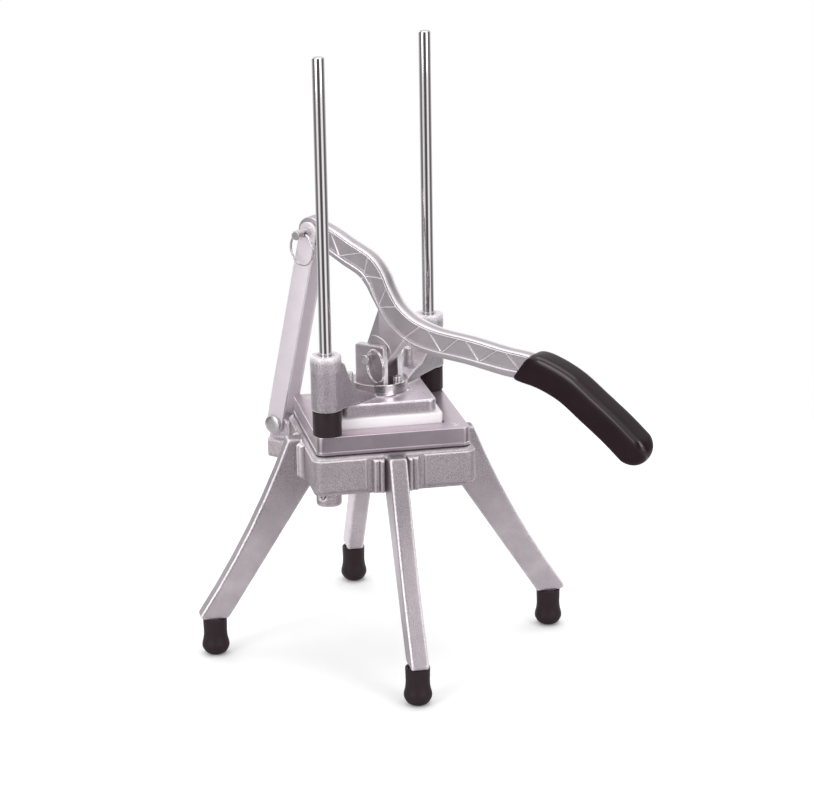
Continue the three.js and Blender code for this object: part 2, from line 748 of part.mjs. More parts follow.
function clevisSolid() {
  const r = discDiameter / 2;
  let solid = toSolid(turned([
    [0, discBottomZ], [r - discBreak, discBottomZ], [r, discBottomZ + discBreak],
    [r, discTopZ - discBreak], [r - discBreak, discTopZ], [0, discTopZ],
  ]));
  const half = earWidth / 2;
  const top = clevisZ + earRise;
  const ear = [
    new THREE.Vector2(-half, discTopZ - discBreak),
    new THREE.Vector2(half, discTopZ - discBreak),
    ...arcPoints(half - earCorner, top - earCorner, earCorner, 0, quarterTurn, cornerSteps),
    ...arcPoints(earCorner - half, top - earCorner, earCorner, quarterTurn, Math.PI, cornerSteps),
  ];
  for (const side of [-1, 1]) {
    const y = side * (earInnerY + earThick / 2);
    solid = join(solid, toSolid(slab(ear, earThick, y, leverEdge / 2)));
  }
  solid = cut(solid, toSolid(crossRod(pinHole, 0, clevisZ, -earOuterY - overrun, earOuterY + overrun)));
  for (const side of [-1, 1]) {
    solid = cut(solid, toSolid(rod(clevisScrewShank + 2 * seatGap, discBottomZ - overrun, discTopZ + overrun,
      0, smallSteps).translate(side * clevisScrewSpan, 0, 0)));
  }
  return solid;
}

function clevisScrewSolid() {
  const seat = discTopZ + seatGap / 2;
  const body = join(
    toSolid(rod(clevisScrewHead, seat, seat + clevisScrewHeight, pinBreak / 2, smallSteps)),
    toSolid(rod(clevisScrewShank, discBottomZ - clevisScrewBite + seatGap, seat + seatGap, 0, smallSteps)),
  );
  const top = seat + clevisScrewHeight;
  return cut(body, toSolid(rod(driveSocket, top - driveDepth, top + overrun, 0, 6)));
}

// A pin along Z from its head at height zero, with a cross hole near its far end
function pinSolid(length, holeInset, ringAngle) {
  const r = pinDiameter / 2;
  const head = pinHeadDiameter / 2;
  const body = toSolid(turned([
    [0, -pinHeadThick], [head - 2 * pinHeadDome, -pinHeadThick], [head, pinHeadDome - pinHeadThick], [head, 0],
    [r, 0], [r, length - pinBreak], [r - pinBreak, length], [0, length],
  ], pinSteps));
  const across = rod(ringHole, -pinDiameter, pinDiameter, 0, smallSteps).rotateX(quarterTurn);
  return cut(body, toSolid(across.rotateZ(ringAngle).translate(0, 0, length - holeInset)));
}

// The headed length of the same pin, with no cross hole
function pinHeadLengthSolid(length) {
  const r = pinDiameter / 2;
  const head = pinHeadDiameter / 2;
  return toSolid(turned([
    [0, -pinHeadThick], [head - 2 * pinHeadDome, -pinHeadThick], [head, pinHeadDome - pinHeadThick], [head, 0],
    [r, 0], [r, length], [0, length],
  ], pinSteps));
}

// The plain length of the same pin, with no head
function pinLengthSolid(length, holeInset, ringAngle) {
  const body = toSolid(rod(pinDiameter, 0, length, pinBreak));
  const across = rod(ringHole, -pinDiameter, pinDiameter, 0, smallSteps).rotateX(quarterTurn);
  return cut(body, toSolid(across.rotateZ(ringAngle).translate(0, 0, length - holeInset)));
}

function ringGeometry() {
  return new THREE.TorusGeometry(ringRadius, ringWire / 2, smallSteps / 2, roundSteps).rotateX(quarterTurn);
}

// Link

function linkSolid() {
  const half = linkWidth / 2;
  const outline = [
    ...arcPoints(0, 0, half, Math.PI, 2 * Math.PI, cornerSteps * 2),
    ...arcPoints(0, linkLength, half, 0, Math.PI, cornerSteps * 2),
  ];
  let solid = toSolid(slab(outline, linkThick, 0, leverEdge / 2));
  for (const z of [0, linkLength]) {
    solid = cut(solid, toSolid(crossRod(pinHole, 0, z, -linkThick, linkThick)));
  }
  return solid;
}

// Lever

// Middle line of the lever. Rear: X in shares of the rear reach, Z in shares of the rear rise.
const rearLineShares = [
  [1, 1], [0.742, 0.949], [0.435, 0.858], [0.113, 0.761],
  [-0.016, 0.665], [-0.111, 0.544], [-0.274, 0.396], [-0.532, 0.279],
];
// Front: X in shares of the whole reach, Z in shares of the rear rise
const frontLineShares = [[0.228, 0.207], [0.378, 0.173], [0.508, 0.132], [0.593, 0.117]];
// Grip: X in shares of the whole reach, Z in shares of the droop
const gripLineShares = [[0.667, 1.178], [0.748, 1], [0.833, 0.689], [0.915, 0.378], [1, 0.01]];

// Zigzag ribs, each from one rim to the other, as shares along the middle line
const rearRibShares = [
  [0.051, 0.091], [0.097, 0.144], [0.162, 0.176], [0.19, 0.212], [0.236, 0.261], [0.269, 0.29],
];
const frontRibShares = [
  [0.351, 0.376], [0.403, 0.441], [0.449, 0.486], [0.509, 0.543], [0.552, 0.59], [0.617, 0.653],
];
// Middle line to the lower edge, in shares of the lever's depth, at places along the line
const lowerHalfShares = [[0, 0.5], [0.13, 0.56], [0.19, 0.56], [0.24, 0.44], [0.3, 0.45], [0.42, 0.57], [1, 0.53]];
const upperHalfShare = 0.49;
const lugRearOpenShare = 0.55; // hollow of the lug's rear edge against a straight tangent
const tongueEndShare = 0.93; // end of the lever inside the grip
const pocketEndShare = 0.676;
const gripSwellShares = [0.82, 0.9, 0.96]; // depth of the grip's first rings
const gripRoundShare = 0.9; // how much of a quarter round the grip's end closes through
const gripEndPower = 0.6; // squareness of that round

const upperHalf = leverDepth * upperHalfShare;

function leverLine() {
  const rise = linkTopZ - clevisZ;
  const droop = clevisZ - gripEndZ;
  return new THREE.CatmullRomCurve3([
    ...rearLineShares.map(([x, z]) => new THREE.Vector3(x * linkTopX, clevisZ + z * rise, 0)),
    ...frontLineShares.map(([x, z]) => new THREE.Vector3(x * gripEndX, clevisZ + z * rise, 0)),
    ...gripLineShares.map(([x, z]) => new THREE.Vector3(x * gripEndX, gripEndZ + z * droop, 0)),
  ], false, "centripetal");
}

// Place along the line where it reaches an X value
function shareAt(line, x) {
  let low = 0;
  let high = 1;
  while (high - low > weld / line.getLength()) {
    const middle = (low + high) / 2;
    if (line.getPointAt(middle).x < x) low = middle;
    else high = middle;
  }
  return low;
}

function beside(line, offset, share) {
  const point = line.getPointAt(share);
  const along = line.getTangentAt(share);
  return new THREE.Vector2(point.x - along.y * offset, point.y + along.x * offset);
}

function lowerHalf(share) {
  const next = Math.max(1, lowerHalfShares.findIndex(([place]) => place >= share));
  const [[from, a], [to, b]] = [lowerHalfShares[next - 1], lowerHalfShares[next]];
  return leverDepth * THREE.MathUtils.lerp(a, b, (share - from) / (to - from));
}

// Both edges of a band inside the lever's section, as one closed outline
function bandOutline(line, topInset, footInset, from, to, steps) {
  const upper = [];
  const lower = [];
  for (let step = 0; step <= steps; step += 1) {
    const share = from + (to - from) * (step / steps);
    upper.push(beside(line, upperHalf - topInset, share));
    lower.push(beside(line, footInset - lowerHalf(share), share));
  }
  return [...lower, ...upper.reverse()];
}

function leverSolid() {
  const line = leverLine();
  const length = line.getLength();
  const start = line.getPointAt(0);
  const along = line.getTangentAt(0);
  const ahead = Math.atan2(along.y, along.x);
  const upperAngle = Math.asin(upperHalf / leverEyeRadius);
  const lowerAngle = Math.asin(lowerHalf(0) / leverEyeRadius);
  const eyeShare = (leverEyeRadius * Math.cos(upperAngle)) / length;
  const outline = [
    ...arcPoints(start.x, start.y, leverEyeRadius, ahead + upperAngle + leverEdge / leverEyeRadius,
      ahead + 2 * Math.PI - lowerAngle - leverEdge / leverEyeRadius, cornerSteps * 3),
    ...bandOutline(line, 0, 0, eyeShare, tongueEndShare, leverSteps),
  ];
  let solid = join(
    toSolid(slab(outline, lugThick, 0, leverEdge)),
    toSolid(slab(lugOutline(line), lugThick, 0, leverEdge)),
  );
  const pocketDeep = (lugThick - leverWeb) / 2;
  const bosses = [
    toSolid(crossRod(2 * leverBossRadius, 0, clevisZ, -lugThick, lugThick)),
    toSolid(crossRod(2 * (leverEyeRadius - leverTopRim / 2), linkTopX, linkTopZ, -lugThick, lugThick)),
  ];
  const pocket = bandOutline(line, leverTopRim, leverFootRim, eyeShare, pocketEndShare, leverSteps);
  for (const side of [-1, 1]) {
    const tool = toSolid(slab(pocket, 2 * pocketDeep, side * (leverWeb / 2 + pocketDeep)));
    solid = cut(solid, cut(tool, ...bosses));
  }
  solid = join(solid, ...ribSolids(line, rearRibShares, 1), ...ribSolids(line, frontRibShares, -1));
  for (const [x, z] of [[0, clevisZ], [linkTopX, linkTopZ]]) {
    solid = cut(solid, toSolid(crossRod(pinHole, x, z, -lugThick, lugThick)));
  }
  return solid;
}

// Lug that hangs from the neck between the clevis ears
function lugOutline(line) {
  const front = shareAt(line, leverLugFrontX);
  const rear = shareAt(line, leverLugRearX);
  const frontJoin = beside(line, -lowerHalf(front), front);
  const rearJoin = beside(line, -lowerHalf(rear), rear);
  const toFront = Math.atan2(frontJoin.y - clevisZ, frontJoin.x);
  const frontReach = Math.hypot(frontJoin.x, frontJoin.y - clevisZ);
  const frontTouch = toFront - Math.acos(leverLugRadius / frontReach);
  const toRear = Math.atan2(rearJoin.y - clevisZ, rearJoin.x);
  const rearReach = Math.hypot(rearJoin.x, rearJoin.y - clevisZ);
  const rearTouch = toRear + Math.acos(leverLugRadius / rearReach) * lugRearOpenShare;
  return [
    ...arcPoints(0, clevisZ, leverLugRadius, rearTouch, frontTouch + 2 * Math.PI, cornerSteps * 3),
    frontJoin,
    beside(line, 0, front),
    beside(line, 0, rear),
    rearJoin,
  ];
}

function ribSolids(line, places, firstSide) {
  return places.map(([from, to], i) => {
    const side = i % 2 === 0 ? firstSide : -firstSide;
    const reach = (share, way) => (way > 0 ? upperHalf - leverTopRim / 2 : lowerHalf(share) - leverFootRim / 2);
    const start = beside(line, side * reach(from, side), from);
    const end = beside(line, -side * reach(to, -side), to);
    const span = end.clone().sub(start);
    const bar = new THREE.BoxGeometry(span.length(), lugThick - 2 * ribSink, leverRib);
    bar.rotateY(-Math.atan2(span.y, span.x));
    return toSolid(bar.translate((start.x + end.x) / 2, 0, (start.y + end.y) / 2));
  });
}

// Rounded section of the grip across the middle line; the mouth's rings lean
function gripRing(line, share, depthScale, widthScale, shift, lean) {
  const point = line.getPointAt(share);
  const along = line.getTangentAt(share);
  const ring = [];
  for (let i = 0; i < gripSides; i += 1) {
    const angle = ((i + 1 / 2) / gripSides) * 2 * Math.PI;
    const c = Math.cos(angle);
    const s = Math.sin(angle);
    const wide = (gripWidth / 2) * widthScale * Math.sign(c) * Math.abs(c) ** gripSquareness;
    const high = (gripDepth / 2) * depthScale * Math.sign(s) * Math.abs(s) ** gripSquareness;
    const ahead = shift + high * lean;
    ring.push(new THREE.Vector3(
      point.x - along.y * high + along.x * ahead,
      wide,
      point.y + along.x * high + along.y * ahead,
    ));
  }
  return ring;
}

function gripSolid() {
  const line = leverLine();
  const mouth = shareAt(line, gripMouthX);
  const rings = [];
  for (let step = 0; step <= gripSteps; step += 1) {
    const share = mouth + (1 - mouth) * (step / gripSteps);
    const swell = gripSwellShares[step] ?? 1;
    const lean = gripMouthLean * Math.max(0, 1 - step / (gripSwellShares.length + 1));
    rings.push(gripRing(line, share, swell, (1 + swell) / 2, 0, lean));
  }
  for (let step = 1; step <= cornerSteps; step += 1) {
    const angle = (step / cornerSteps) * quarterTurn * gripRoundShare;
    const shrink = Math.cos(angle) ** gripEndPower;
    rings.push(gripRing(line, 1, shrink, shrink, gripEnd * Math.sin(angle), 0));
  }
  const bore = [];
  const boreFrom = shareAt(line, gripMouthX - gripDepth);
  const boreTo = tongueEndShare + runGap / line.getLength();
  for (let step = 0; step <= leverSteps; step += 1) {
    bore.push(boreRing(line, boreFrom + (boreTo - boreFrom) * (step / leverSteps)));
  }
  return cut(toSolid(loft(rings)), toSolid(loft(bore)));
}

function boreRing(line, share) {
  const upper = beside(line, upperHalf + seatGap, share);
  const lower = beside(line, -lowerHalf(share) - seatGap, share);
  const wide = lugThick / 2 + seatGap;
  return [
    new THREE.Vector3(lower.x, wide, lower.y),
    new THREE.Vector3(upper.x, wide, upper.y),
    new THREE.Vector3(upper.x, -wide, upper.y),
    new THREE.Vector3(lower.x, -wide, lower.y),
  ];
}

// Assembly

const dicer = new THREE.Group();

function place(name, solid, material, parent = dicer) {
  const geometry = solid.isBufferGeometry ? toGeometry(toSolid(solid)) : toGeometry(solid);
  const mesh = new THREE.Mesh(geometry, material);
  mesh.name = name;
  parent.add(mesh);
  return mesh;
}

place("base_casting", baseSolid(), castAluminium);

const legNames = ["right_rear", "left_rear", "left_front", "right_front"];
legNames.forEach((name, i) => {
  const angle = eighthTurn + i * quarterTurn;
  const tip = place(`leg_tip_${name}`, tipSolid(), blackRubber);
  tip.position.set(legSpan * Math.cos(angle), legSpan * Math.sin(angle), 0);
});

const trayGroup = new THREE.Group();
trayGroup.rotation.z = eighthTurn;
dicer.add(trayGroup);
place("blade_tray", traySolid(), castAluminium);
for (let i = 0; i < bladeCount; i += 1) {
  const offset = (i - (bladeCount - 1) / 2) * diceSize;
  const lower = place(`lower_blade_${i + 1}`, bladeSolid(0), bladeSteel, trayGroup);
  lower.position.set(0, offset, lowerBladeZ);
  const upper = place(`upper_blade_${i + 1}`, bladeSolid(upperBladeZ - lowerBladeZ), bladeSteel, trayGroup);
  upper.position.set(-offset, 0, upperBladeZ);
  upper.rotation.z = quarterTurn;
}

const sides = [["left", -1], ["right", 1]];
for (const [name, side] of sides) {
  const y = side * rodHalfSpan;
  const guide = place(`guide_rod_${name}`, rod(rodDiameter, rodBottomZ, rodTopZ, rodBreak), polishedSteel);
  guide.position.y = y;
  const screw = place(`rod_set_screw_${name}`, setScrew(), polishedSteel);
  screw.position.set(0, y + side * rodHole / 2, socketZ + setScrewRise);
  screw.rotation.x = -side * quarterTurn;
  const bumper = place(`stop_bumper_${name}`, cut(
    toSolid(turned([
      [0, trayTopZ], [bumperDiameter / 2 - bumperBreak, trayTopZ], [bumperDiameter / 2, trayTopZ + bumperBreak],
      [bumperDiameter / 2, trayTopZ + bumperHeight], [0, trayTopZ + bumperHeight],
    ])),
    toSolid(rod(rodHole, trayTopZ - overrun, bossBottomZ + overrun)),
  ), blackRubber);
  bumper.position.y = y;
  const bushing = place(`guide_bushing_${name}`, bushingSolid(), bushingSteel);
  bushing.position.y = y;
}
for (const [name, side] of [["rear", -1], ["front", 1]]) {
  const screw = place(`tray_screw_${name}`, traySeatScrew(), polishedSteel);
  screw.position.x = side * trayScrewX;
  const clevisScrew = place(`clevis_screw_${name}`, clevisScrewSolid(), polishedSteel);
  clevisScrew.position.x = side * clevisScrewSpan;
}

place("pusher_head", headSolid(), castAluminium);
place("pusher_block", pusherBlockSolid(), whitePlastic);
blockScrewPlaces().forEach(([x, y], i) => {
  const screw = place(`block_screw_${i + 1}`, blockScrewSolid(), polishedSteel);
  screw.position.set(x, y, 0);
});
place("clevis_bracket", clevisSolid(), castAluminium);

// Pins lie along Y with the head at +Y, except the lower link pin, whose head faces -Y
const clevisPin = place(
  "clevis_pin",
  pinSolid(2 * earOuterY + 2 * runGap + pinTailShort, ringHoleInsetShort, -clevisRingDroop),
  polishedSteel,
);
clevisPin.position.set(0, earOuterY + runGap, clevisZ);
clevisPin.rotation.x = quarterTurn;

// A ring hangs in a group at its cross hole, which it leaves along the group's X axis
function hangRing(name, x, y, z, turn, droop) {
  const hanger = new THREE.Group();
  hanger.position.set(x, y, z);
  hanger.rotation.set(0, droop, turn, "ZYX");
  dicer.add(hanger);
  const ring = place(name, ringGeometry(), polishedSteel, hanger);
  ring.position.x = ringRadius;
}

const clevisRingY = -earOuterY - runGap - pinTailShort + ringHoleInsetShort;
hangRing("clevis_ring", 0, clevisRingY, clevisZ, -clevisRingTurn, clevisRingDroop);

const lowerPinLength = 2 * linkOuterY + 2 * runGap + pinTail;
const lowerPin = place("lower_link_pin", pinSolid(lowerPinLength, ringHoleInset, quarterTurn), polishedSteel);
lowerPin.position.set(pivotX, -linkOuterY - runGap, pivotZ);
lowerPin.rotation.x = -quarterTurn;

for (const [name, side] of [["near", -1], ["far", 1]]) {
  const link = place(`link_plate_${name}`, linkSolid(), castAluminium);
  link.position.set(pivotX, side * (linkInnerY + linkThick / 2), pivotZ);
  link.rotation.y = linkLean;
}

// The upper pin has one length in each link plate
const upperTail = place(
  "upper_link_pin_tail",
  pinLengthSolid(linkThick + runGap + pinTail, ringHoleInset, quarterTurn),
  polishedSteel,
);
upperTail.position.set(linkTopX, -linkInnerY, linkTopZ);
upperTail.rotation.x = quarterTurn;
const upperHead = place("upper_link_pin_head", pinHeadLengthSolid(linkThick + runGap), polishedSteel);
upperHead.position.set(linkTopX, linkOuterY + runGap, linkTopZ);
upperHead.rotation.x = quarterTurn;

const ringY = linkOuterY + runGap + pinTail - ringHoleInset;
hangRing("upper_link_ring", linkTopX, -ringY, linkTopZ, ringTurn, quarterTurn);
hangRing("lower_link_ring", pivotX, ringY, pivotZ, -ringTurn, quarterTurn);

place("lever", leverSolid(), castAluminium);
place("lever_grip", gripSolid(), blackVinyl);

// Origin under the middle of the whole outline
const outline = new THREE.Box3().setFromObject(dicer, true);
const middle = outline.getCenter(new THREE.Vector3());
dicer.position.set(-middle.x, -middle.y, -outline.min.z);

export default dicer;
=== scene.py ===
import math

import bmesh
import bpy
import numpy as np
from mathutils import Matrix, Vector


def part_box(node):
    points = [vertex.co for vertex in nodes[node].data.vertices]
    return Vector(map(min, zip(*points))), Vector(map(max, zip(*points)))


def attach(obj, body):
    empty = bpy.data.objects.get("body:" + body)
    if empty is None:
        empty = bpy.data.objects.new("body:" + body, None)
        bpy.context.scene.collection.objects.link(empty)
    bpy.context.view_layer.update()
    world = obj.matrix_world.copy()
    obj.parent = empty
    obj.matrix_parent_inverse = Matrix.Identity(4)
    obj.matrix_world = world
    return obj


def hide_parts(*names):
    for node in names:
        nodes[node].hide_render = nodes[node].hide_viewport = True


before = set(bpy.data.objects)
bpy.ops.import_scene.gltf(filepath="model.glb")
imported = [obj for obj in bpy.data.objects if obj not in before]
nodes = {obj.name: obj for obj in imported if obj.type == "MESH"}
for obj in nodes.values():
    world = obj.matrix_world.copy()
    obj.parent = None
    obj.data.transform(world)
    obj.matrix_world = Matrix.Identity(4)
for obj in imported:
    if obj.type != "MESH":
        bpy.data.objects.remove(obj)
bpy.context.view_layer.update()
mm = 0.001

# the middle of the blade tray, which the pieces are laid out from, lies between the two guide rods
rodLow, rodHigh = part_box("guide_rod_left")
trayMiddleX = (rodLow.x + rodHigh.x) / 2
print("frame loaded, tray middle at", round(trayMiddleX, 4))

view = {
    "azimuth": 33.9,
    "elevation": 16.9,
    "roll": -0.93,
    "place": (1169.44, -1699.38, 838.5),  # mm from the tray's middle on the table
    "focal": 114.602,
    "sensor": 36,
    "clipEnd": 50,
}


def placeCamera():
    a, e, r = (math.radians(view[key]) for key in ("azimuth", "elevation", "roll"))
    right = Vector((math.cos(a), math.sin(a), 0))
    back = Vector((math.sin(a) * math.cos(e), -math.cos(a) * math.cos(e), math.sin(e)))
    up = back.cross(right)
    rightTurned = right * math.cos(r) + up * math.sin(r)
    upTurned = up * math.cos(r) - right * math.sin(r)
    camera = bpy.data.objects.new("photoCamera", bpy.data.cameras.new("photoCamera"))
    camera.data.lens = view["focal"]
    camera.data.sensor_width = view["sensor"]
    camera.data.clip_end = view["clipEnd"]
    x, y, z = view["place"]
    place = Vector((trayMiddleX + x * mm, y * mm, z * mm))
    turn = Matrix((rightTurned, upTurned, back)).transposed().to_4x4()
    camera.matrix_world = Matrix.Translation(place) @ turn
    bpy.context.scene.collection.objects.link(camera)
    bpy.context.scene.camera = camera


lampAim = Vector((0, 0, 0.22))
lamps = {
    # name: degrees round from the camera, distance (m), height (m), width, tall, power (W)
    "leftSoftbox": (-44, 2.0, 1.0, 0.9, 1.4, 13),
    "rightSoftbox": (44, 2.0, 1.0, 0.9, 1.4, 11),
    "topSoftbox": (160, 0.5, 2.2, 1.5, 1.5, 14),
    "backSoftbox": (-150, 2.0, 1.0, 0.8, 1.4, 6),
}


def placeLamps():
    for name, (turn, distance, height, width, tall, power) in lamps.items():
        lamp = bpy.data.lights.new(name, "AREA")
        lamp.shape = "RECTANGLE"
        lamp.size = width
        lamp.size_y = tall
        lamp.energy = power
        angle = math.radians(view["azimuth"] - 90 + turn)
        place = Vector((distance * math.cos(angle), distance * math.sin(angle), height))
        lampObject = bpy.data.objects.new(name, lamp)
        lampObject.location = place
        lampObject.rotation_euler = (lampAim - place).to_track_quat("-Z", "Y").to_euler()
        bpy.context.scene.collection.objects.link(lampObject)


placeCamera()
placeLamps()
print("camera and lamps placed")


def addNode(tree, kind, **settings):
    node = tree.nodes.new(kind)
    for key, value in settings.items():
        setattr(node, key, value)
    return node


def feedSocket(tree, socket, value):
    if isinstance(value, bpy.types.NodeSocket):
        tree.links.new(value, socket)
    else:
        socket.default_value = (*value, 1) if socket.type == "RGBA" else value


# inputs of a node by name: each value is a number, a vector, a colour or another node's output
def feed(tree, node, **values):
    for key, value in values.items():
        feedSocket(tree, node.inputs[key.replace("_", " ")], value)
    return node


def mathNode(tree, operation, *values, clamp=False):
    node = addNode(tree, "ShaderNodeMath", operation=operation, use_clamp=clamp)
    for socket, value in zip(node.inputs, values):
        feedSocket(tree, socket, value)
    return node.outputs[0]


# value times factor plus an amount
def timesPlus(tree, value, factor, plus, clamp=False):
    return mathNode(tree, "MULTIPLY_ADD", value, factor, plus, clamp=clamp)


def rangeNode(tree, value, low, high):
    node = addNode(tree, "ShaderNodeMapRange", interpolation_type="SMOOTHSTEP")
    return feed(tree, node, Value=value, From_Min=low, From_Max=high).outputs["Result"]


def mixNode(tree, factor, first, second, kind="RGBA", **settings):
    mix = addNode(tree, "ShaderNodeMix", data_type=kind, **settings)
    return feed(tree, mix, Factor=factor, A=first, B=second).outputs["Result"]


def noiseNode(tree, **values):
    return feed(tree, addNode(tree, "ShaderNodeTexNoise"), **values).outputs["Fac"]


def bumpNode(tree, skin, **values):
    bump = feed(tree, addNode(tree, "ShaderNodeBump"), **values)
    feed(tree, skin, Normal=bump.outputs["Normal"])


def objectPlace(tree):
    return addNode(tree, "ShaderNodeTexCoord").outputs["Object"]


def partsOf(tree, vector):
    return feed(tree, addNode(tree, "ShaderNodeSeparateXYZ"), Vector=vector).outputs


def paintedValue(tree, label):
    return addNode(tree, "ShaderNodeAttribute", attribute_name=label).outputs["Fac"]


def newGroup(name, inputs, outputs):
    tree = bpy.data.node_groups.new(name, "ShaderNodeTree")
    for label, default in inputs:
        socket = tree.interface.new_socket(name=label, in_out="INPUT", socket_type="NodeSocketFloat")
        socket.default_value = default
    for label in outputs:
        tree.interface.new_socket(name=label, in_out="OUTPUT", socket_type="NodeSocketFloat")
    return tree, tree.nodes.new("NodeGroupInput").outputs, tree.nodes.new("NodeGroupOutput")


# cells are the pits, fine noise roughens them, and slow noise is the unevenness under them
castGrain = {"pitSoftness": 0.7, "fineScale": 2.1, "fineShare": 0.6, "fineDetail": 3, "slowDetail": 4,
             "slowRough": 0.6}


# rounded pits of a sand or peened skin: height = 1 - distance to the nearest cell + a share of the fine noise
def buildGrainGroup():
    s = castGrain
    tree, given, result = newGroup("castGrain", [("Cell Scale", 700.0), ("Slow Scale", 60.0)], ["Height", "Tone"])
    place = objectPlace(tree)
    cells = feed(tree, addNode(tree, "ShaderNodeTexVoronoi", feature="SMOOTH_F1"), Vector=place,
                 Scale=given["Cell Scale"], Smoothness=s["pitSoftness"])
    fine = noiseNode(tree, Vector=place, Detail=s["fineDetail"],
                     Scale=mathNode(tree, "MULTIPLY", given["Cell Scale"], s["fineScale"]))
    slow = noiseNode(tree, Vector=place, Scale=given["Slow Scale"], Detail=s["slowDetail"],
                     Roughness=s["slowRough"])
    pits = mathNode(tree, "SUBTRACT", 1.0, cells.outputs["Distance"])
    feed(tree, result, Height=timesPlus(tree, fine, s["fineShare"], pits), Tone=slow)
    return tree


edgeWearAndShade = {"patchShare": 0.9, "patchBase": 0.5, "shadeFrom": 0.49, "shadeTo": 0.42}


# edges that hands and polishing have brightened: where the surface is convex, broken by noise; and painted shade in
# the hollows, where it is concave
def buildWearShadeGroup():
    s = edgeWearAndShade
    tree, given, result = newGroup("edgeWearAndShade", [("Start", 0.52), ("End", 0.6), ("Patch Scale", 90.0)],
                                   ["Edge", "Crevice"])
    bent = addNode(tree, "ShaderNodeNewGeometry").outputs["Pointiness"]
    patch = noiseNode(tree, Vector=objectPlace(tree), Scale=given["Patch Scale"])
    edge = feed(tree, addNode(tree, "ShaderNodeMapRange"), Value=bent, From_Min=given["Start"],
                From_Max=given["End"])
    hollowShade = feed(tree, addNode(tree, "ShaderNodeMapRange"), Value=bent, From_Min=s["shadeFrom"],
                   From_Max=s["shadeTo"])
    patchy = timesPlus(tree, patch, s["patchShare"], s["patchBase"])
    feed(tree, result, Edge=mathNode(tree, "MULTIPLY", edge.outputs["Result"], patchy, clamp=True),
         Crevice=hollowShade.outputs["Result"])
    return tree


grainGroup = buildGrainGroup()
wearShadeGroup = buildWearShadeGroup()


def startMaterial(name):
    material = bpy.data.materials.new(name)
    material.use_nodes = True
    return material, material.node_tree, material.node_tree.nodes["Principled BSDF"]


def groupNode(tree, group, **values):
    return feed(tree, addNode(tree, "ShaderNodeGroup", node_tree=group), **values).outputs


def tinted(grey, tint):
    return tuple(round(grey * part, 4) for part in (1.0, *tint))


# cast aluminium: pebble grain from the group, brighter and smoother where the edges are worn and where a highlight is
# painted, darker in hollows and along painted lines as painted shade. "gloss" is a pair of heights (m) between which
# the skin goes over from polished to cast; a lighter tone underneath is painted light, given by the heights between
# which it ends and how much lighter it is; what is painted on a mesh is told at paint()
def castMaterial(name, look):
    material, tree, skin = startMaterial(name)
    dark, light, tint, relief = look["dark"], look["light"], look["tint"], look["bump"]
    pale = tuple((part * 2 + 1) / 3 for part in tint)  # light places have less of the tint than dark ones
    grain = groupNode(tree, grainGroup, Cell_Scale=look["cell"], Slow_Scale=look["slow"])
    wearShade = groupNode(tree, wearShadeGroup, Start=look["wearStart"], End=look["wearEnd"])
    smoothed, painted, paintedLightShade = (paintedValue(tree, label) for label in ("smoothed", "edgeHighlightShade", "paintedLightShade"))
    pebble = rangeNode(tree, grain["Height"], *look["pebble"])
    mottle = mixNode(tree, look["speckle"], grain["Tone"], pebble, "FLOAT")
    mottle = mixNode(tree, smoothed, mottle, grain["Tone"], "FLOAT")
    body = mixNode(tree, mottle, tinted(dark, tint), tinted(light, pale))
    height = partsOf(tree, objectPlace(tree))["Z"]
    # painted light: below the given heights the skin is made lighter by the given share
    if "paintedLightBelow" in look:
        lower, upper, lift = look["paintedLightBelow"]
        lifted = mixNode(tree, mottle, tinted(dark * lift, tint), tinted(light * lift, pale))
        body = mixNode(tree, rangeNode(tree, height, lower, upper), lifted, body)
    # painted light and shade from the mesh: the body times one plus the painted value
    shaded = mixNode(tree, 1.0, body, mathNode(tree, "ADD", paintedLightShade, 1.0), blend_type="MULTIPLY")
    edge = mathNode(tree, "MAXIMUM", wearShade["Edge"], painted)
    # painted shade: concave hollows and the painted dark lines go over to the shade grey
    paintedShade = mathNode(tree, "MAXIMUM", wearShade["Crevice"], mathNode(tree, "MULTIPLY", painted, -1.0), clamp=True)
    wornAndHighlit = mixNode(tree, edge, shaded, tinted(look["edge"], look["edgeTint"]))
    polished = timesPlus(tree, edge, -look["polish"], look["rough"])
    rough = timesPlus(tree, grain["Tone"], look["toneRough"], polished, clamp=True)
    if "gloss" in look:
        cast = rangeNode(tree, height, *look["gloss"])
        share = look["glossRough"]
        rough = mathNode(tree, "MULTIPLY", rough, timesPlus(tree, cast, share, 1 - share))
        strength = timesPlus(tree, cast, relief, relief * look["glossBump"])
    else:
        rough = timesPlus(tree, smoothed, -look["smoothRough"], rough)
        strength = timesPlus(tree, smoothed, -relief * look["smoothBump"], relief)
    # worn edges and painted highlights scatter more, so that they stay a light line from every side
    metallic = timesPlus(tree, edge, -look["metal"] * look["edgeScatter"], look["metal"])
    feed(tree, skin, Base_Color=mixNode(tree, paintedShade, wornAndHighlit, tinted(look["hollowShade"], tint)), Roughness=rough,
         Metallic=metallic)
    bumpNode(tree, skin, Height=grain["Height"], Strength=strength, Distance=look["depth"])
    return material


peened = {
    "cell": 1100, "slow": 45, "pebble": (0.55, 1.25), "speckle": 0.62,
    "dark": 0.33, "light": 0.62, "edge": 0.95, "hollowShade": 0.27, "tint": (0.86, 0.955), "edgeTint": (0.97, 0.99),
    "wearStart": 0.515, "wearEnd": 0.57, "edgeScatter": 0.6,
    "rough": 0.34, "toneRough": 0.16, "polish": 0.18, "smoothRough": 0.06, "glossRough": 0.25,
    "bump": 0.8, "depth": 0.0004, "smoothBump": 0.85, "glossBump": 0.35, "metal": 0.88,
}
satin = dict(peened, cell=1500, slow=70, dark=0.43, light=0.53, speckle=0.3, bump=0.18, depth=0.0002, rough=0.32,
             tint=(0.895, 0.96))
# painted light: the head's plate is lighter below its top
headSkin = dict(peened, cell=1000, slow=80, dark=0.32, light=0.6, speckle=0.5, bump=0.7, polish=0.1, metal=0.95,
                tint=(0.875, 0.97), gloss=(0.221, 0.229), paintedLightBelow=(0.221, 0.226, 1.2))
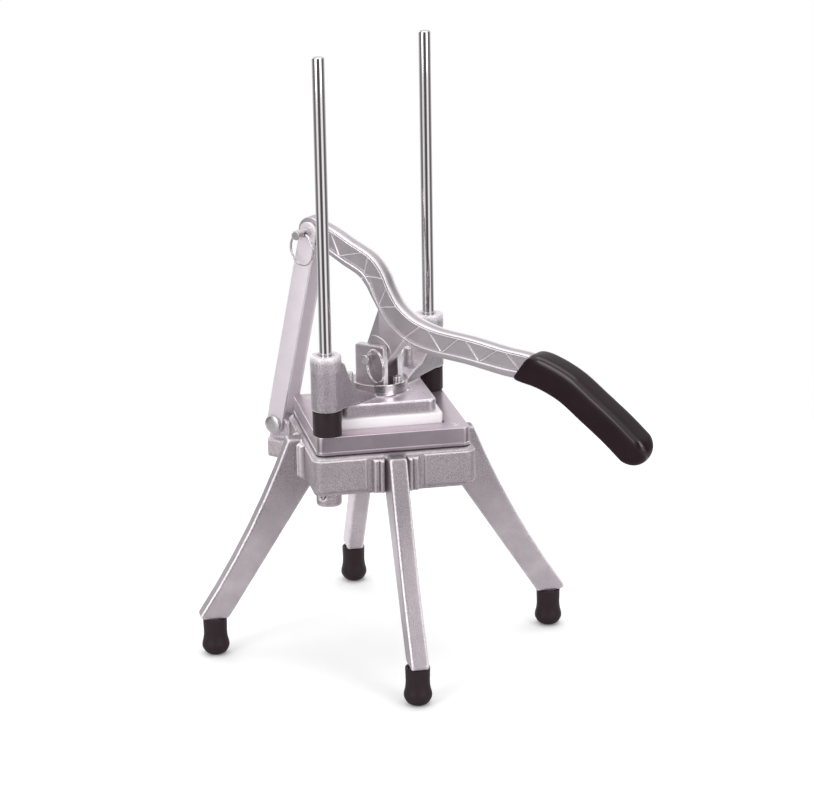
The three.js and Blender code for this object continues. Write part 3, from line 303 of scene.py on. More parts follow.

# painted light: the base is lighter low down, on its legs
baseMaterial = castMaterial("peenedBaseCasting", dict(peened, paintedLightBelow=(0.06, 0.156, 1.45)))
trayMaterial = castMaterial("satinTrayCasting", dict(satin, dark=0.33, light=0.42, rough=0.24, polish=0.1,
                                                     bump=0.1, tint=(0.81, 0.94)))
headMaterial = castMaterial("polishedHeadCasting", headSkin)
discMaterial = castMaterial("turnedDisc", dict(satin, cell=600, slow=120, dark=0.45, light=0.64, bump=0.15,
                                               rough=0.12, polish=0.04, metal=1, tint=(0.88, 0.955)))
earMaterial = castMaterial("satinEar", dict(satin, dark=0.36, light=0.62, slow=160, rough=0.26, metal=1,
                                            tint=(0.865, 0.945)))
bossMaterial = castMaterial("castBossTop", dict(headSkin, gloss=(0.1, 0.11), dark=0.38, light=0.74))
leverMaterial = castMaterial("satinLeverCasting", satin)
linkMaterial = castMaterial("satinLinkPlate", dict(satin, dark=0.67, light=0.77, rough=0.4, metal=0.45, bump=0.12,
                                                   tint=(0.9, 0.975)))

scratches = {"tint": (0.95, 0.975), "detail": 5.0, "rough": 0.65, "depth": 0.0001}
steels = {
    # name: stretch of the scratches, their scale, dark, light, roughness, its spread, bump
    "polishedRodSteel": ((1, 1, 0.004), 160, 0.58, 0.68, 0.06, 0.02, 0.0),
    "satinPinSteel": ((1, 1, 1), 500, 0.56, 0.82, 0.2, 0.18, 0.2),
    "ringWireSteel": ((1, 1, 1), 300, 0.55, 0.75, 0.05, 0.08, 0.02),
    "groundBladeSteel": ((1, 1, 0.1), 600, 0.55, 0.75, 0.14, 0.2, 0.2),
    "turnedBushing": ((1, 1, 6), 300, 0.55, 0.7, 0.28, 0.2, 0.3),
}


# steel: a fine lengthwise or turned grain in the roughness, and a faint tone
def steelMaterial(name, stretch, scale, dark, light, rough, spread, bump):
    material, tree, skin = startMaterial(name)
    stretched = feed(tree, addNode(tree, "ShaderNodeMapping"), Vector=objectPlace(tree), Scale=stretch)
    scratch = noiseNode(tree, Vector=stretched.outputs["Vector"], Scale=scale, Detail=scratches["detail"],
                        Roughness=scratches["rough"])
    tones = (tinted(grey, scratches["tint"]) for grey in (dark, light))
    feed(tree, skin, Base_Color=mixNode(tree, scratch, *tones), Roughness=timesPlus(tree, scratch, spread, rough),
         Metallic=1)
    bumpNode(tree, skin, Height=scratch, Strength=bump, Distance=scratches["depth"])
    return material


rodSteel, pinSteel, wireSteel, bladeSteel, bushingSteel = (
    steelMaterial(name, *look) for name, look in steels.items())

softSkins = {
    # name: cell, slow, dark, light, roughness, its spread, bump, depth (m), shine, roughness of the coat if any
    "mattTipRubber": (1800, 90, (0.019, 0.011, 0.014), (0.029, 0.018, 0.022), 0.32, 0.25, 0.1, 0.0002, 0.18, None),
    "dippedGripVinyl": (220, 40, (0.012, 0.0062, 0.008), (0.021, 0.0112, 0.0142), 0.2, 0.1, 0.04, 0.0006, 0.1, 0.03),
    "whiteBlockPlastic": (900, 60, (0.90, 0.86, 0.88), (0.96, 0.93, 0.945), 0.34, 0.15, 0.04, 0.0002, 0.4, None),
}


# rubber, vinyl and plastic: a soft mottle in colour and gloss over a low bump
def softMaterial(name, cell, slow, dark, light, rough, spread, bump, depth, shine, coat):
    material, tree, skin = startMaterial(name)
    grain = groupNode(tree, grainGroup, Cell_Scale=cell, Slow_Scale=slow)
    feed(tree, skin, Base_Color=mixNode(tree, grain["Tone"], dark, light), Metallic=0, Specular_IOR_Level=shine,
         Roughness=timesPlus(tree, grain["Tone"], spread, rough))
    bumpNode(tree, skin, Height=grain["Height"], Strength=bump, Distance=depth)
    if coat:
        feed(tree, skin, Coat_Weight=paintedValue(tree, "gloss"), Coat_Roughness=coat)
    return material


rubber, vinyl, whitePlastic = (softMaterial(name, *look) for name, look in softSkins.items())
print("materials built")


def unit(vectors):
    return vectors / np.linalg.norm(vectors, axis=1, keepdims=True)


def stacked(x, y, z):
    return np.stack(np.broadcast_arrays(x, y, z), axis=-1)


def wholeTurn(sides):
    return np.arange(sides) / sides * 2 * np.pi


# share of the way from low to high, held between 0 and 1
def between(value, low, high):
    return np.clip((value - low) / (high - low), 0, 1)


# 1 in the middle, falling straight to 0 at the spread
def peak(value, middle, spread):
    return np.clip(1 - np.abs(value - middle) / spread, 0, 1)


def softStep(share):
    return share * share * (3 - 2 * share)


# corners of a profile turned into short arcs: each corner gives an arc that touches both sides
def softCorners(corners, radius, steps=5):
    points = np.asarray(corners, float)
    before, after = points[:-2], points[2:]
    middle = points[1:-1]
    inward = before - middle
    outward = after - middle
    reachIn = np.linalg.norm(inward, axis=1, keepdims=True)
    reachOut = np.linalg.norm(outward, axis=1, keepdims=True)
    radii = np.broadcast_to(np.asarray(radius, float), len(middle))[:, None]
    take = np.minimum(radii, 0.45 * np.minimum(reachIn, reachOut))
    start = middle + inward / reachIn * take
    end = middle + outward / reachOut * take
    t = np.linspace(0, 1, steps)[None, :, None]
    arcs = (1 - t) ** 2 * start[:, None] + 2 * t * (1 - t) * middle[:, None] + t ** 2 * end[:, None]
    return np.vstack([points[:1], arcs.reshape(-1, points.shape[1]), points[-1:]])


# grids of points made one mesh: rows follow the first index, and the columns close on themselves;
# the ends are closed by a hub or by one flat face, and the faces turned so that the volume is positive
def gridMesh(name, grids, cap="hub", closeRows=False):
    points, faces, first = [], [], 0
    for grid in grids:
        rows, columns = grid.shape[:2]
        index = first + np.arange(rows * columns).reshape(rows, columns)
        points.append(grid.reshape(-1, 3))
        first += rows * columns
        beside = np.roll(index, -1, axis=1)
        last = rows if closeRows else rows - 1
        quads = [index[:last], beside[:last], np.roll(beside, -1, axis=0)[:last], np.roll(index, -1, axis=0)[:last]]
        faces += np.stack(quads, axis=-1).reshape(-1, 4).tolist()
        if closeRows:
            continue
        if cap == "flat":
            faces += [index[0, ::-1].tolist(), index[-1].tolist()]
        else:
            points.append(np.stack([grid[0].mean(axis=0), grid[-1].mean(axis=0)]))
            low, high = np.full(columns, first), np.full(columns, first + 1)
            faces += np.stack([low, beside[0], index[0]], axis=-1).tolist()
            faces += np.stack([high, index[-1], beside[-1]], axis=-1).tolist()
            first += 2
    mesh = bpy.data.meshes.new(name)
    mesh.from_pydata(np.vstack(points).tolist(), [], faces)
    mesh.validate()
    work = bmesh.new()
    work.from_mesh(mesh)
    if work.calc_volume(signed=True) < 0:
        bmesh.ops.reverse_faces(work, faces=work.faces)
        work.to_mesh(mesh)
    work.free()
    return mesh


# a value for each point, which the materials read: the edge label is a painted highlight above zero and a painted
# shade line below it, the light-and-shade label paints light and shade, making the skin lighter or darker by its
# share, "smoothed" takes the pebbles away, and vinyl is as glossy as "gloss"; hub points stay plain
def paint(mesh, values, label="edgeHighlightShade"):
    amount = np.zeros(len(mesh.vertices))
    amount[:values.size] = values.ravel()
    mesh.attributes.new(label, "FLOAT", "POINT").data.foreach_set("value", amount)
    return mesh


def readValues(items, key="co"):
    values = np.empty(len(items) * 3)
    items.foreach_get(key, values)
    return values.reshape(-1, 3)


def readNormals(mesh):
    return readValues(mesh.vertex_normals, "vector")


def addPiece(name, mesh, material, body, replaced, smoothAngle=40):
    piece = bpy.data.objects.new(name, mesh)
    bpy.context.scene.collection.objects.link(piece)
    mesh.materials.clear()
    mesh.materials.append(material)
    mesh.shade_smooth()
    if smoothAngle:
        mesh.set_sharp_from_angle(angle=math.radians(smoothAngle))
    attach(piece, body)
    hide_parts(*replaced)
    return piece


# layout millimetres into the frame's metres
def toFrame(points):
    moved = np.asarray(points, float) * mm
    moved[..., 0] += trayMiddleX
    return moved


# a piece made of grids in layout millimetres
def gridPiece(name, grids, material, body, slot, replaced=(), smoothAngle=40, shine=None, **meshing):
    mesh = gridMesh(name, [toFrame(grid) for grid in grids], **meshing)
    if shine is not None:
        paint(mesh, shine)
    addPiece(name, mesh, material, body, replaced, smoothAngle)


# a profile of radius and height carried round an upright axis
def turnedGrid(profile, x, y, sides=48):
    angle = wholeTurn(sides)
    radius, height = profile[:, :1], profile[:, 1:]
    return stacked(x + radius * np.cos(angle), y + radius * np.sin(angle), height)


# the same round an axis along Y: the profile's second number is the place along Y
def turnedAcross(profile, x, z, sides):
    return turnedGrid(profile, x, z, sides)[..., [0, 2, 1]]


# loops of a rounded square: each row gives half the side, the corner radius and the height;
# a corner point is the corner's centre plus the radius along its direction, an edge point lies between two corners
def squareGrid(profile, corner, edge, turn=45, middle=(0, 0)):
    half, radius, height = (profile[:, k, None, None] for k in range(3))
    quarter = np.arange(4)[:, None]
    angle = (quarter + np.linspace(0, 1, corner)) * np.pi / 2
    signX = np.sign(np.cos((quarter + 0.5) * np.pi / 2))
    signY = np.sign(np.sin((quarter + 0.5) * np.pi / 2))
    corners = np.stack([signX * (half - radius) + radius * np.cos(angle),
                        signY * (half - radius) + radius * np.sin(angle)], axis=-1)
    share = (np.arange(edge) + 1)[None, None, :, None] / (edge + 1)
    ends, starts = corners[:, :, -1:], np.roll(corners, -1, axis=1)[:, :, :1]
    flat = np.concatenate([corners, ends + (starts - ends) * share], axis=2).reshape(len(profile), -1, 2)
    c, s = math.cos(math.radians(turn)), math.sin(math.radians(turn))
    x, y = flat[..., 0] + middle[0], flat[..., 1] + middle[1]
    return stacked(x * c - y * s, x * s + y * c, height[:, :, 0])


# smooth line through points: on each span the cubic whose end slopes weigh the neighbours by the root of
# their distance, resampled at equal steps of length; gives points, unit directions and the length
def smoothLine(points, count, fine=60):
    p = np.asarray(points, float)
    p = np.vstack([2 * p[0] - p[1], p, 2 * p[-1] - p[-2]])
    a, b, c, d = p[:-3], p[1:-2], p[2:-1], p[3:]
    ab, bc, cd = (np.sqrt(np.linalg.norm(v - u, axis=1, keepdims=True)) for u, v in ((a, b), (b, c), (c, d)))
    slopeB = ((b - a) / ab - (c - a) / (ab + bc) + (c - b) / bc) * bc
    slopeC = ((c - b) / bc - (d - b) / (bc + cd) + (d - c) / cd) * bc
    t = np.linspace(0, 1, fine, endpoint=False)[None, :, None]
    b, c, slopeB, slopeC = (v[:, None] for v in (b, c, slopeB, slopeC))
    curve = ((2 * t ** 3 - 3 * t ** 2 + 1) * b + (t ** 3 - 2 * t ** 2 + t) * slopeB
             + (3 * t ** 2 - 2 * t ** 3) * c + (t ** 3 - t ** 2) * slopeC).reshape(-1, p.shape[1])
    curve = np.vstack([curve, p[-2]])
    length = np.concatenate([[0], np.cumsum(np.linalg.norm(np.diff(curve, axis=0), axis=1))])
    wanted = np.linspace(0, length[-1], count)
    line = np.stack([np.interp(wanted, length, curve[:, k]) for k in range(p.shape[1])], axis=-1)
    return line, unit(np.gradient(line, axis=0)), length[-1]


# a round wire along a path: each point plus the radius round the path's direction, one side being the given axis
def wireGrid(path, axis, radius, sides=12):
    direction = unit(np.gradient(path, axis=0))
    up = unit(axis - direction * (direction @ axis)[:, None])
    side = np.cross(direction, up)
    angle = wholeTurn(sides)[None, :, None]
    thick = np.broadcast_to(np.asarray(radius, float), len(path))[:, None, None]
    return path[:, None] + thick * (np.cos(angle) * up[:, None] + np.sin(angle) * side[:, None])


# an outline in X and Z drawn in step by step: moved inward along its own normals while Y runs over the edge round
def slabGrid(outline, halfThick, middleY, edge, steps=5, border=()):
    ahead = unit(np.roll(outline, -1, axis=0) - np.roll(outline, 1, axis=0))
    inward = np.stack([-ahead[:, 1], ahead[:, 0]], axis=-1)
    crossing = outline[:, 0] * np.roll(outline[:, 1], -1) - np.roll(outline[:, 0], -1) * outline[:, 1]
    inward *= np.sign(crossing.sum())
    angle = np.linspace(0, np.pi / 2, steps)
    inset = edge + np.array(border)
    draw = np.concatenate([inset[::-1], edge * (1 - np.sin(angle)), edge * (1 - np.sin(angle[::-1])), inset])
    level = np.concatenate([-halfThick + 0 * inset, -halfThick + edge * (1 - np.cos(angle)),
                            halfThick - edge * (1 - np.cos(angle[::-1])), halfThick + 0 * inset])
    flat = outline[None] + inward[None] * draw[:, None, None]
    return stacked(flat[..., 0], (middleY + level)[:, None], flat[..., 1])


def arcPoints(x, z, radius, start, end, count):
    angle = np.linspace(start, end, count)
    return np.stack([x + radius * np.cos(angle), z + radius * np.sin(angle)], axis=-1)


mergeWithin = 2e-6  # m, for the loose triangles of a CAD mesh
easeShare = 0.5  # how far a point moves towards its neighbours' middle in one easing step
castings = {
    # node: voxel (mm), easing steps, body, slot, material
    "base_casting": (1.25, 4, "base", "cast_aluminium", baseMaterial),
    "pusher_head": (0.7, 8, "head", "cast_aluminium", headMaterial),
}


# a merged copy of the node, remeshed fine and eased so that its edges are cast ones
def castCopy(node, voxel, easing):
    mesh = nodes[node].data.copy()
    work = bmesh.new()
    work.from_mesh(mesh)
    bmesh.ops.remove_doubles(work, verts=work.verts, dist=mergeWithin)
    work.to_mesh(mesh)
    work.free()
    piece = bpy.data.objects.new(node + "_cast", mesh)
    bpy.context.scene.collection.objects.link(piece)
    remesh = piece.modifiers.new("fineSkin", "REMESH")
    remesh.mode = "VOXEL"
    remesh.voxel_size = voxel * mm
    remesh.use_smooth_shade = True
    ease = piece.modifiers.new("castFillets", "SMOOTH")
    ease.factor = easeShare
    ease.iterations = easing
    baked = bpy.data.meshes.new_from_object(piece.evaluated_get(bpy.context.evaluated_depsgraph_get()))
    bpy.data.objects.remove(piece)
    return baked


castMeshes = {}
for node, (voxel, easing, body, slot, material) in castings.items():
    castMeshes[node] = castCopy(node, voxel, easing)
    addPiece(node + "_cast", castMeshes[node], material, body, [node], smoothAngle=0)
    print("casting", node, len(castMeshes[node].polygons))

# the four ways in which the legs stand, as cosine and sine
legWays = [(math.cos(turn), math.sin(turn)) for turn in np.radians([45, 135, 225, 315])]

# skirt of the base: pads beside the legs and wall fields between the grooves (mm)
skirt = {
    "half": 66.85, "corner": 8.5, "legHalf": 8.4,
    # ridges beside a leg: from, to, how far out; the higher of the two stands at the leg
    "ridges": [(9.3, 14.1, 5.9), (13.3, 19.0, 4.3)], "padOut": 3.3, "padLow": 154.5, "padHigh": 183.6,
    "wallFrom": 23.2, "wallOut": 0.9, "wallLow": 156.9, "wallHigh": 184.6,
    "round": 1.9, "behind": 0.7, "inner": 0.97,
    # extra columns and rows of points
    "grooveMiddle": 21.0, "fieldRows": (159, 181, 9), "past": 0.3,
    # painted highlight lines along the top edges and the upright ones, where the skin stands out by at least
    # "shineRise"
    "topShine": 0.8, "topLine": 0.9, "sideShine": 0.3, "sideLine": 1.14, "sideSpread": 1.33, "shineRise": 0.8,
    # where the cast copy's shoulders are drawn back: how far across a leg, from and to which height
    "shoulderTo": 21, "shoulderLow": 153, "shoulderHigh": 187,
}


# rise from 0 to 1 over the rounding: the quarter circle over the distance from the edge
def roundRise(distance, radius):
    inside = np.clip(distance / radius, 0, 1)
    return np.sqrt(1 - (1 - inside) ** 2)


# the cast copy's shoulders are drawn back to the wall, so that the skin's grooves lie open
def drawShouldersBack():
    s, mesh = skirt, castMeshes["base_casting"]
    points = readValues(mesh.vertices)
    x, y, z = points[:, 0] - trayMiddleX, points[:, 1], points[:, 2]
    limit = s["half"] * mm
    for c, d in legWays:
        out, across = x * c + y * d, np.abs(y * c - x * d)
        chosen = ((out > limit) & (across > s["legHalf"] * mm) & (across < s["shoulderTo"] * mm)
                  & (z > s["shoulderLow"] * mm) & (z < s["shoulderHigh"] * mm))
        x = np.where(chosen, x - (out - limit) * c, x)
        y = np.where(chosen, y - (out - limit) * d, y)
    points[:, 0], points[:, 1] = x + trayMiddleX, y
    mesh.vertices.foreach_set("co", points.ravel())
    mesh.update()


# the skin: wall point plus the outward normal times a height, the larger of the pads' and the walls' own rises
def skirtSkin():
    s = skirt
    rounding = s["round"]
    reach = s["half"] - s["corner"]
    curl = rounding * (1 - np.cos(np.linspace(0, np.pi / 2, 7)))
    (legSide, innerTo, _), (outerFrom, padTo, _) = s["ridges"]
    edges = [legSide + curl, innerTo - curl, outerFrom + curl, padTo - curl, s["wallFrom"] + curl]
    right = np.concatenate([np.linspace(0, legSide, 4)[:-1], *edges, np.linspace(legSide, padTo, 16)[1:-1],
                            [s["grooveMiddle"]], np.linspace(s["wallFrom"] + 3, reach, 14)])
    side = np.unique(np.concatenate([-right, right]).round(4))
    bend = np.linspace(0, np.pi / 2, 14)[1:-1]
    place = np.concatenate([side, np.full(len(bend), reach)])
    outX = np.concatenate([np.full(len(side), s["half"]), reach + s["corner"] * np.cos(bend)])
    outY = np.concatenate([side, reach + s["corner"] * np.sin(bend)])
    normalX = np.concatenate([np.ones(len(side)), np.cos(bend)])
    normalY = np.concatenate([np.zeros(len(side)), np.sin(bend)])
    levels = [[s["padLow"] - 0.01], s["padLow"] + curl, s["wallLow"] + curl, s["padHigh"] - curl,
              s["wallHigh"] - curl, np.linspace(*s["fieldRows"]), [s["wallHigh"] + s["past"]]]
    t, z = np.abs(place)[:, None], np.unique(np.concatenate(levels).round(4))[None]
    upright = roundRise(z - s["padLow"], rounding) * roundRise(s["padHigh"] - z, rounding)
    pad = s["padOut"] * roundRise(t - legSide, rounding) * roundRise(padTo - t, rounding)
    for start, end, outward in s["ridges"]:
        pad = np.maximum(pad, outward * roundRise(t - start, rounding) * roundRise(end - t, rounding))
    wall = (roundRise(t - s["wallFrom"], rounding) * roundRise(z - s["wallLow"], rounding)
            * roundRise(s["wallHigh"] - z, rounding))
    height = np.maximum(pad * upright, wall * (s["wallOut"] + s["behind"]))
    height -= s["behind"] * (pad * upright < s["behind"])
    x = outX[:, None] + normalX[:, None] * height
    y = outY[:, None] + normalY[:, None] * height
    loop = np.concatenate([stacked(x * c - y * d, x * d + y * c, z) for c, d in legWays]).transpose(1, 0, 2)
    topHeight = np.where(t < padTo + 1, s["padHigh"], s["wallHigh"])
    topEdge = peak(z, topHeight - s["topLine"], s["topLine"])
    sideEdge = np.zeros(t.shape)
    for edge, way in ((legSide, 1), (innerTo, -1), (padTo, -1), (s["wallFrom"], 1)):
        sideEdge = np.maximum(sideEdge, peak((t - edge) * way, s["sideLine"], s["sideSpread"]))
    # painted highlight lines along the top and upright edges of the pads and walls
    bright = np.clip(topEdge * s["topShine"] + sideEdge * s["sideShine"], 0, 1) * between(height, 0, s["shineRise"])
    shine = np.tile(bright, (4, 1)).T
    inner = loop[[-1, 0]] * [s["inner"], s["inner"], 1]
    return np.concatenate([loop, inner]), np.concatenate([shine, np.zeros((2, shine.shape[1]))])


# heights and reaches are metres; "facing" are the parts of the normal between which a face counts more and more
legPaint = {
    "outerShade": (-0.3, -0.46), "rimShade": -0.3, "lugLight": 0.35,
    "edgeTurn": (14, 28, 50, 60, 70, 78, 84), "edgeHighlightShade": (0, 1, 1, 0, -0.7, -0.7, 0),
    "legLow": 0.032, "legHigh": 0.187, "legReach": 0.0675, "legHalf": 0.0088,
    "flankSmooth": 0.85, "flankFrom": 0.152, "flankTo": 0.12, "facing": (0.75, 0.95), "outwardFrom": 0.1,
    "rimLow": 0.18, "rimUp": 0.6, "lugX": -0.085, "lugLow": 0.15,
}


# painted shade makes the legs' outer faces and the rim's top darker, and painted light makes the rear lug lighter; a
# painted highlight line with a painted shade line beside it runs where an outer face turns into a flank: turn =
# atan(part of the normal across the leg / part of it outward), 0 on the outer face
def paintBase():
    s, mesh = legPaint, castMeshes["base_casting"]
    points, normals = readValues(mesh.vertices), readNormals(mesh)
    x, y, z = points[:, 0] - trayMiddleX, points[:, 1], points[:, 2]
    paintedLightShade, shine, smoothed = np.zeros(len(x)), np.zeros(len(x)), np.zeros(len(x))
    lowered = between(z, s["flankFrom"], s["flankTo"])
    outerShade = np.interp(z, (s["legLow"], s["legHigh"]), s["outerShade"][::-1])
    for c, d in legWays:
        out, across = x * c + y * d, y * c - x * d
        onLeg = (out > s["legReach"]) & (np.abs(across) < s["legHalf"]) & (z > s["legLow"]) & (z < s["legHigh"])
        forward = normals[:, 0] * c + normals[:, 1] * d
        outward = np.hypot(forward, normals[:, 2]) * (forward > s["outwardFrom"])
        sideways = np.abs(normals[:, 1] * c - normals[:, 0] * d)
        # painted shade on the legs' outer faces
        paintedLightShade += onLeg * between(outward, *s["facing"]) * outerShade
        shine += onLeg * np.interp(np.degrees(np.arctan2(sideways, outward)), s["edgeTurn"], s["edgeHighlightShade"])
        smoothed = np.maximum(smoothed, between(sideways, *s["facing"]) * lowered * s["flankSmooth"])
    rim = (z > s["rimLow"]) & (normals[:, 2] > s["rimUp"])
    # painted shade on the rim's upward faces, and painted light on the rear lug
    paintedLightShade = np.where(rim, s["rimShade"], paintedLightShade) + (x < s["lugX"]) * (z > s["lugLow"]) * s["lugLight"]
    paint(mesh, shine)
    paint(mesh, paintedLightShade, "paintedLightShade")
    paint(mesh, smoothed, "smoothed")


# heights are metres; "edgeUp" is the upward part of the normal in the middle of the plate's rounded edge
headPaint = {"topLight": 0.85, "topUp": 0.8, "sideShade": -0.06, "sideUp": 0.5, "plateTop": 0.2248,
             "edgeUp": 0.6, "edgeSpread": 0.32, "plateShine": 0.7, "bossTop": 0.2672, "bossShine": 0.6}


# painted light makes the plate under the head lighter on top and painted shade darker at its sides; painted
# highlights run along the plate's rounded edge and over the bosses' tops
def paintHead():
    s, mesh = headPaint, castMeshes["pusher_head"]
    z, up = readValues(mesh.vertices)[:, 2], readNormals(mesh)[:, 2]
    plate = z < s["plateTop"]
    paint(mesh, plate * (s["topLight"] * (up > s["topUp"]) + s["sideShade"] * (np.abs(up) < s["sideUp"])), "paintedLightShade")
    plateEdge = plate * peak(up, s["edgeUp"], s["edgeSpread"])
    # painted highlights along the plate's rounded edge and on the bosses' tops
    paint(mesh, (z > s["bossTop"]) * s["bossShine"] + plateEdge * s["plateShine"])


drawShouldersBack()
paintBase()
paintHead()
skirtPoints, skirtShine = skirtSkin()
gridPiece("skirt_skin", [skirtPoints], baseMaterial, "base", "cast_aluminium", smoothAngle=50, shine=skirtShine,
          closeRows=True)
print("skirt laid")

tray = {"lip": 64.05, "side": 63.3, "under": 61.5, "corner": 6, "low": 187.1, "seat": 188.0, "lipTop": 190.1,
        "lipCorner": 6.8, "lipSlope": 0.5, "top": 203, "opening": 45.95, "openingCorner": 4,
        "rounds": [0.1, 0.1, 0.2, 0.4, 0.4, 0.7, 0.6], "topLight": 0.65, "lightFrom": 0.2}


def trayGrid():
    s = tray
    inside, corner, lipCorner = (s["opening"], s["openingCorner"]), s["corner"], s["lipCorner"]
    outer = softCorners([
        (*inside, s["low"]), (s["under"], corner, s["low"]), (s["under"], corner, s["seat"]),
        (s["lip"], lipCorner, s["seat"]), (s["lip"], lipCorner, s["lipTop"]),
        (s["side"], corner, s["lipTop"] + s["lipSlope"]), (s["side"], corner, s["top"]),
        (*inside, s["top"]), (*inside, s["low"]),
    ], s["rounds"])
    return toFrame(squareGrid(outer[:-1], corner=12, edge=10))


trayMesh = gridMesh("blade_tray_body", [trayGrid()], closeRows=True)
trayHeights, trayFacing = readValues(trayMesh.vertices)[:, 2], readNormals(trayMesh)[:, 2]
# painted light: the tray's upward top faces are lighter
paint(trayMesh, tray["topLight"] * (trayHeights > tray["lightFrom"]) * between(trayFacing, 0.5, 1), "paintedLightShade")
addPiece("blade_tray_body", trayMesh, trayMaterial, "base", ["blade_tray"], 30)

block = {"half": 44.45, "corner": 3, "low": 202, "high": 211, "finger": 5.3, "fingerCorner": 0.6, "fingerLow": 184.25,
         "taper": 0.25, "pitch": 12.7, "count": 7, "round": 0.8, "fingerRound": 0.5}


# the block's plate, and its fingers in rows and columns at the pitch
def blockGrids():
    s = block
    body = softCorners([(1, 0.5, s["low"]), (s["half"], s["corner"], s["low"]), (s["half"], s["corner"], s["high"]),
                        (1, 0.5, s["high"])], s["round"])
    top, corner = s["low"] + 0.3, s["fingerCorner"]
    finger = softCorners([(0.5, 0.2, s["fingerLow"]), (s["finger"] - s["taper"], corner, s["fingerLow"]),
                          (s["finger"], corner, top), (0.5, 0.2, top)], s["fingerRound"])
    places = (np.arange(s["count"]) - (s["count"] - 1) / 2) * s["pitch"]
    fingers = [squareGrid(finger, corner=4, edge=1, middle=(u, v)) for u in places for v in places]
    return [squareGrid(body, corner=8, edge=8), *fingers]


gridPiece("pusher_block_body", blockGrids(), whitePlastic, "head", "white_plastic", ["pusher_block"])

rodHalfSpan = 75.299
# radius and height (mm) at the corners of what sits on or round each guide rod, and how they are rounded
rodProfile = softCorners([(0, 147.5), (5, 147.5), (5, 509.9), (0, 509.9)], [0.4, 1.6])
bumper = softCorners([(5.3, 203.1), (11.75, 203.1), (11.8, 223.5), (5.3, 223.5)], [0.9, 1.3], 7)
bossTop = softCorners([(11.8, 252), (12.45, 254), (12.66, 262), (12.66, 269.9), (7.4, 269.9), (7.3, 268.5)],
                      [1, 2, 2.4, 0.3], 8)
bushing = softCorners([(5.25, 229), (7.45, 229), (7.45, 269.7), (5.25, 269.7)], [0.2, 0.6])
for name, side in (("left", -1), ("right", 1)):
    y = side * rodHalfSpan
    boss = turnedGrid(bossTop, 0, y, 64)
    # painted highlight on the boss's top
    bossShine = (boss[..., 2] * mm > headPaint["bossTop"]) * headPaint["bossShine"]
    gridPiece("guide_rod_bar_" + name, [turnedGrid(rodProfile[1:-1], 0, y)], rodSteel, "base", "polished_steel",
              ["guide_rod_" + name])
    gridPiece("stop_bumper_sleeve_" + name, [turnedGrid(bumper, 0, y, 56)], rubber, "base", "black_rubber",
              ["stop_bumper_" + name], closeRows=True)
    gridPiece("boss_top_" + name, [boss], bossMaterial, "head", "cast_aluminium", shine=bossShine, closeRows=True)
    gridPiece("bushing_tube_" + name, [turnedGrid(bushing, 0, y)], bushingSteel, "head", "bushing_steel",
              ["guide_bushing_" + name], closeRows=True)

# a short cast post on each arm, close to the disc
armPost = {"y": 43.5, "radius": 3.6, "foot": 4.2, "low": 224, "high": 247.6}
postProfile = softCorners([(0.3, armPost["low"]), (armPost["foot"], armPost["low"]),
                           (armPost["radius"], armPost["high"]), (0.3, armPost["high"])], [0.1, 1.5], 7)
gridPiece("arm_posts", [turnedGrid(postProfile, 0, side * armPost["y"], 40) for side in (-1, 1)], bossMaterial,
          "head", "cast_aluminium")
print("tray, block, rods and bumpers built")

tip = {"span": 144.5, "sides": 56,
       "profile": [(1, 0.2), (5.5, 0.2), (9.2, 2.2), (11.45, 6.6), (11.5, 9.6), (10.2, 14.5), (9.75, 19.5),
                   (9.95, 26), (10.1, 32.1), (7.8, 32.1), (7.6, 29)],
       "rounds": [1.2, 2.5, 2, 2, 2.5, 3, 3, 0.9, 0.5]}
tipProfile = softCorners(tip["profile"], tip["rounds"], 6)
for (c, d), name in zip(legWays, ("right_rear", "left_rear", "left_front", "right_front")):
    gridPiece("leg_tip_cup_" + name, [turnedGrid(tipProfile, tip["span"] * c, tip["span"] * d, tip["sides"])],
              rubber, "base", "black_rubber", ["leg_tip_" + name])
print("leg tips turned")

# clevis bracket: turned disc and two ears
clevis = {"radius": 24, "low": 221.8, "high": 231.8, "foot": 25.2, "earLow": 230.5, "earHalf": 14.3, "earTop": 263,
          "earIn": 7.35, "earOut": 13.65, "corner": 3, "edge": 0.8, "border": (0.5, 1.3),
          "earShine": (0, 0.15, *[0.45] * 10, 0.15, 0)}


def earOutline():
    s = clevis
    x, low, top, r = s["earHalf"], s["earLow"], s["earTop"], s["corner"]
    return np.vstack([[[-x, low], [0, low], [x, low]], arcPoints(x - r, top - r, r, 0, np.pi / 2, 9),
                      arcPoints(r - x, top - r, r, np.pi / 2, np.pi, 9)])


discProfile = softCorners([(0.5, clevis["low"]), (clevis["foot"], clevis["low"]),
                           (clevis["radius"], clevis["low"] + 1.3), (clevis["radius"], clevis["high"]),
                           (0.5, clevis["high"])], [0.1, 0.9, 1.1], 6)
gridPiece("clevis_disc", [turnedGrid(discProfile, 0, 0, 128)], discMaterial, "head", "cast_aluminium",
          ["clevis_bracket"])
earThick = (clevis["earOut"] - clevis["earIn"]) / 2
ears = [slabGrid(earOutline(), earThick, side * (clevis["earIn"] + earThick), clevis["edge"], border=clevis["border"])
        for side in (-1, 1)]
# painted highlight round the ears' rounded border
earShine = np.array(clevis["earShine"])[:, None] * np.ones(len(earOutline()))
gridPiece("clevis_ears", ears, earMaterial, "head", "cast_aluminium", ["clevis_bracket"],
          shine=np.tile(earShine, (2, 1)), cap="flat")
print("clevis built")

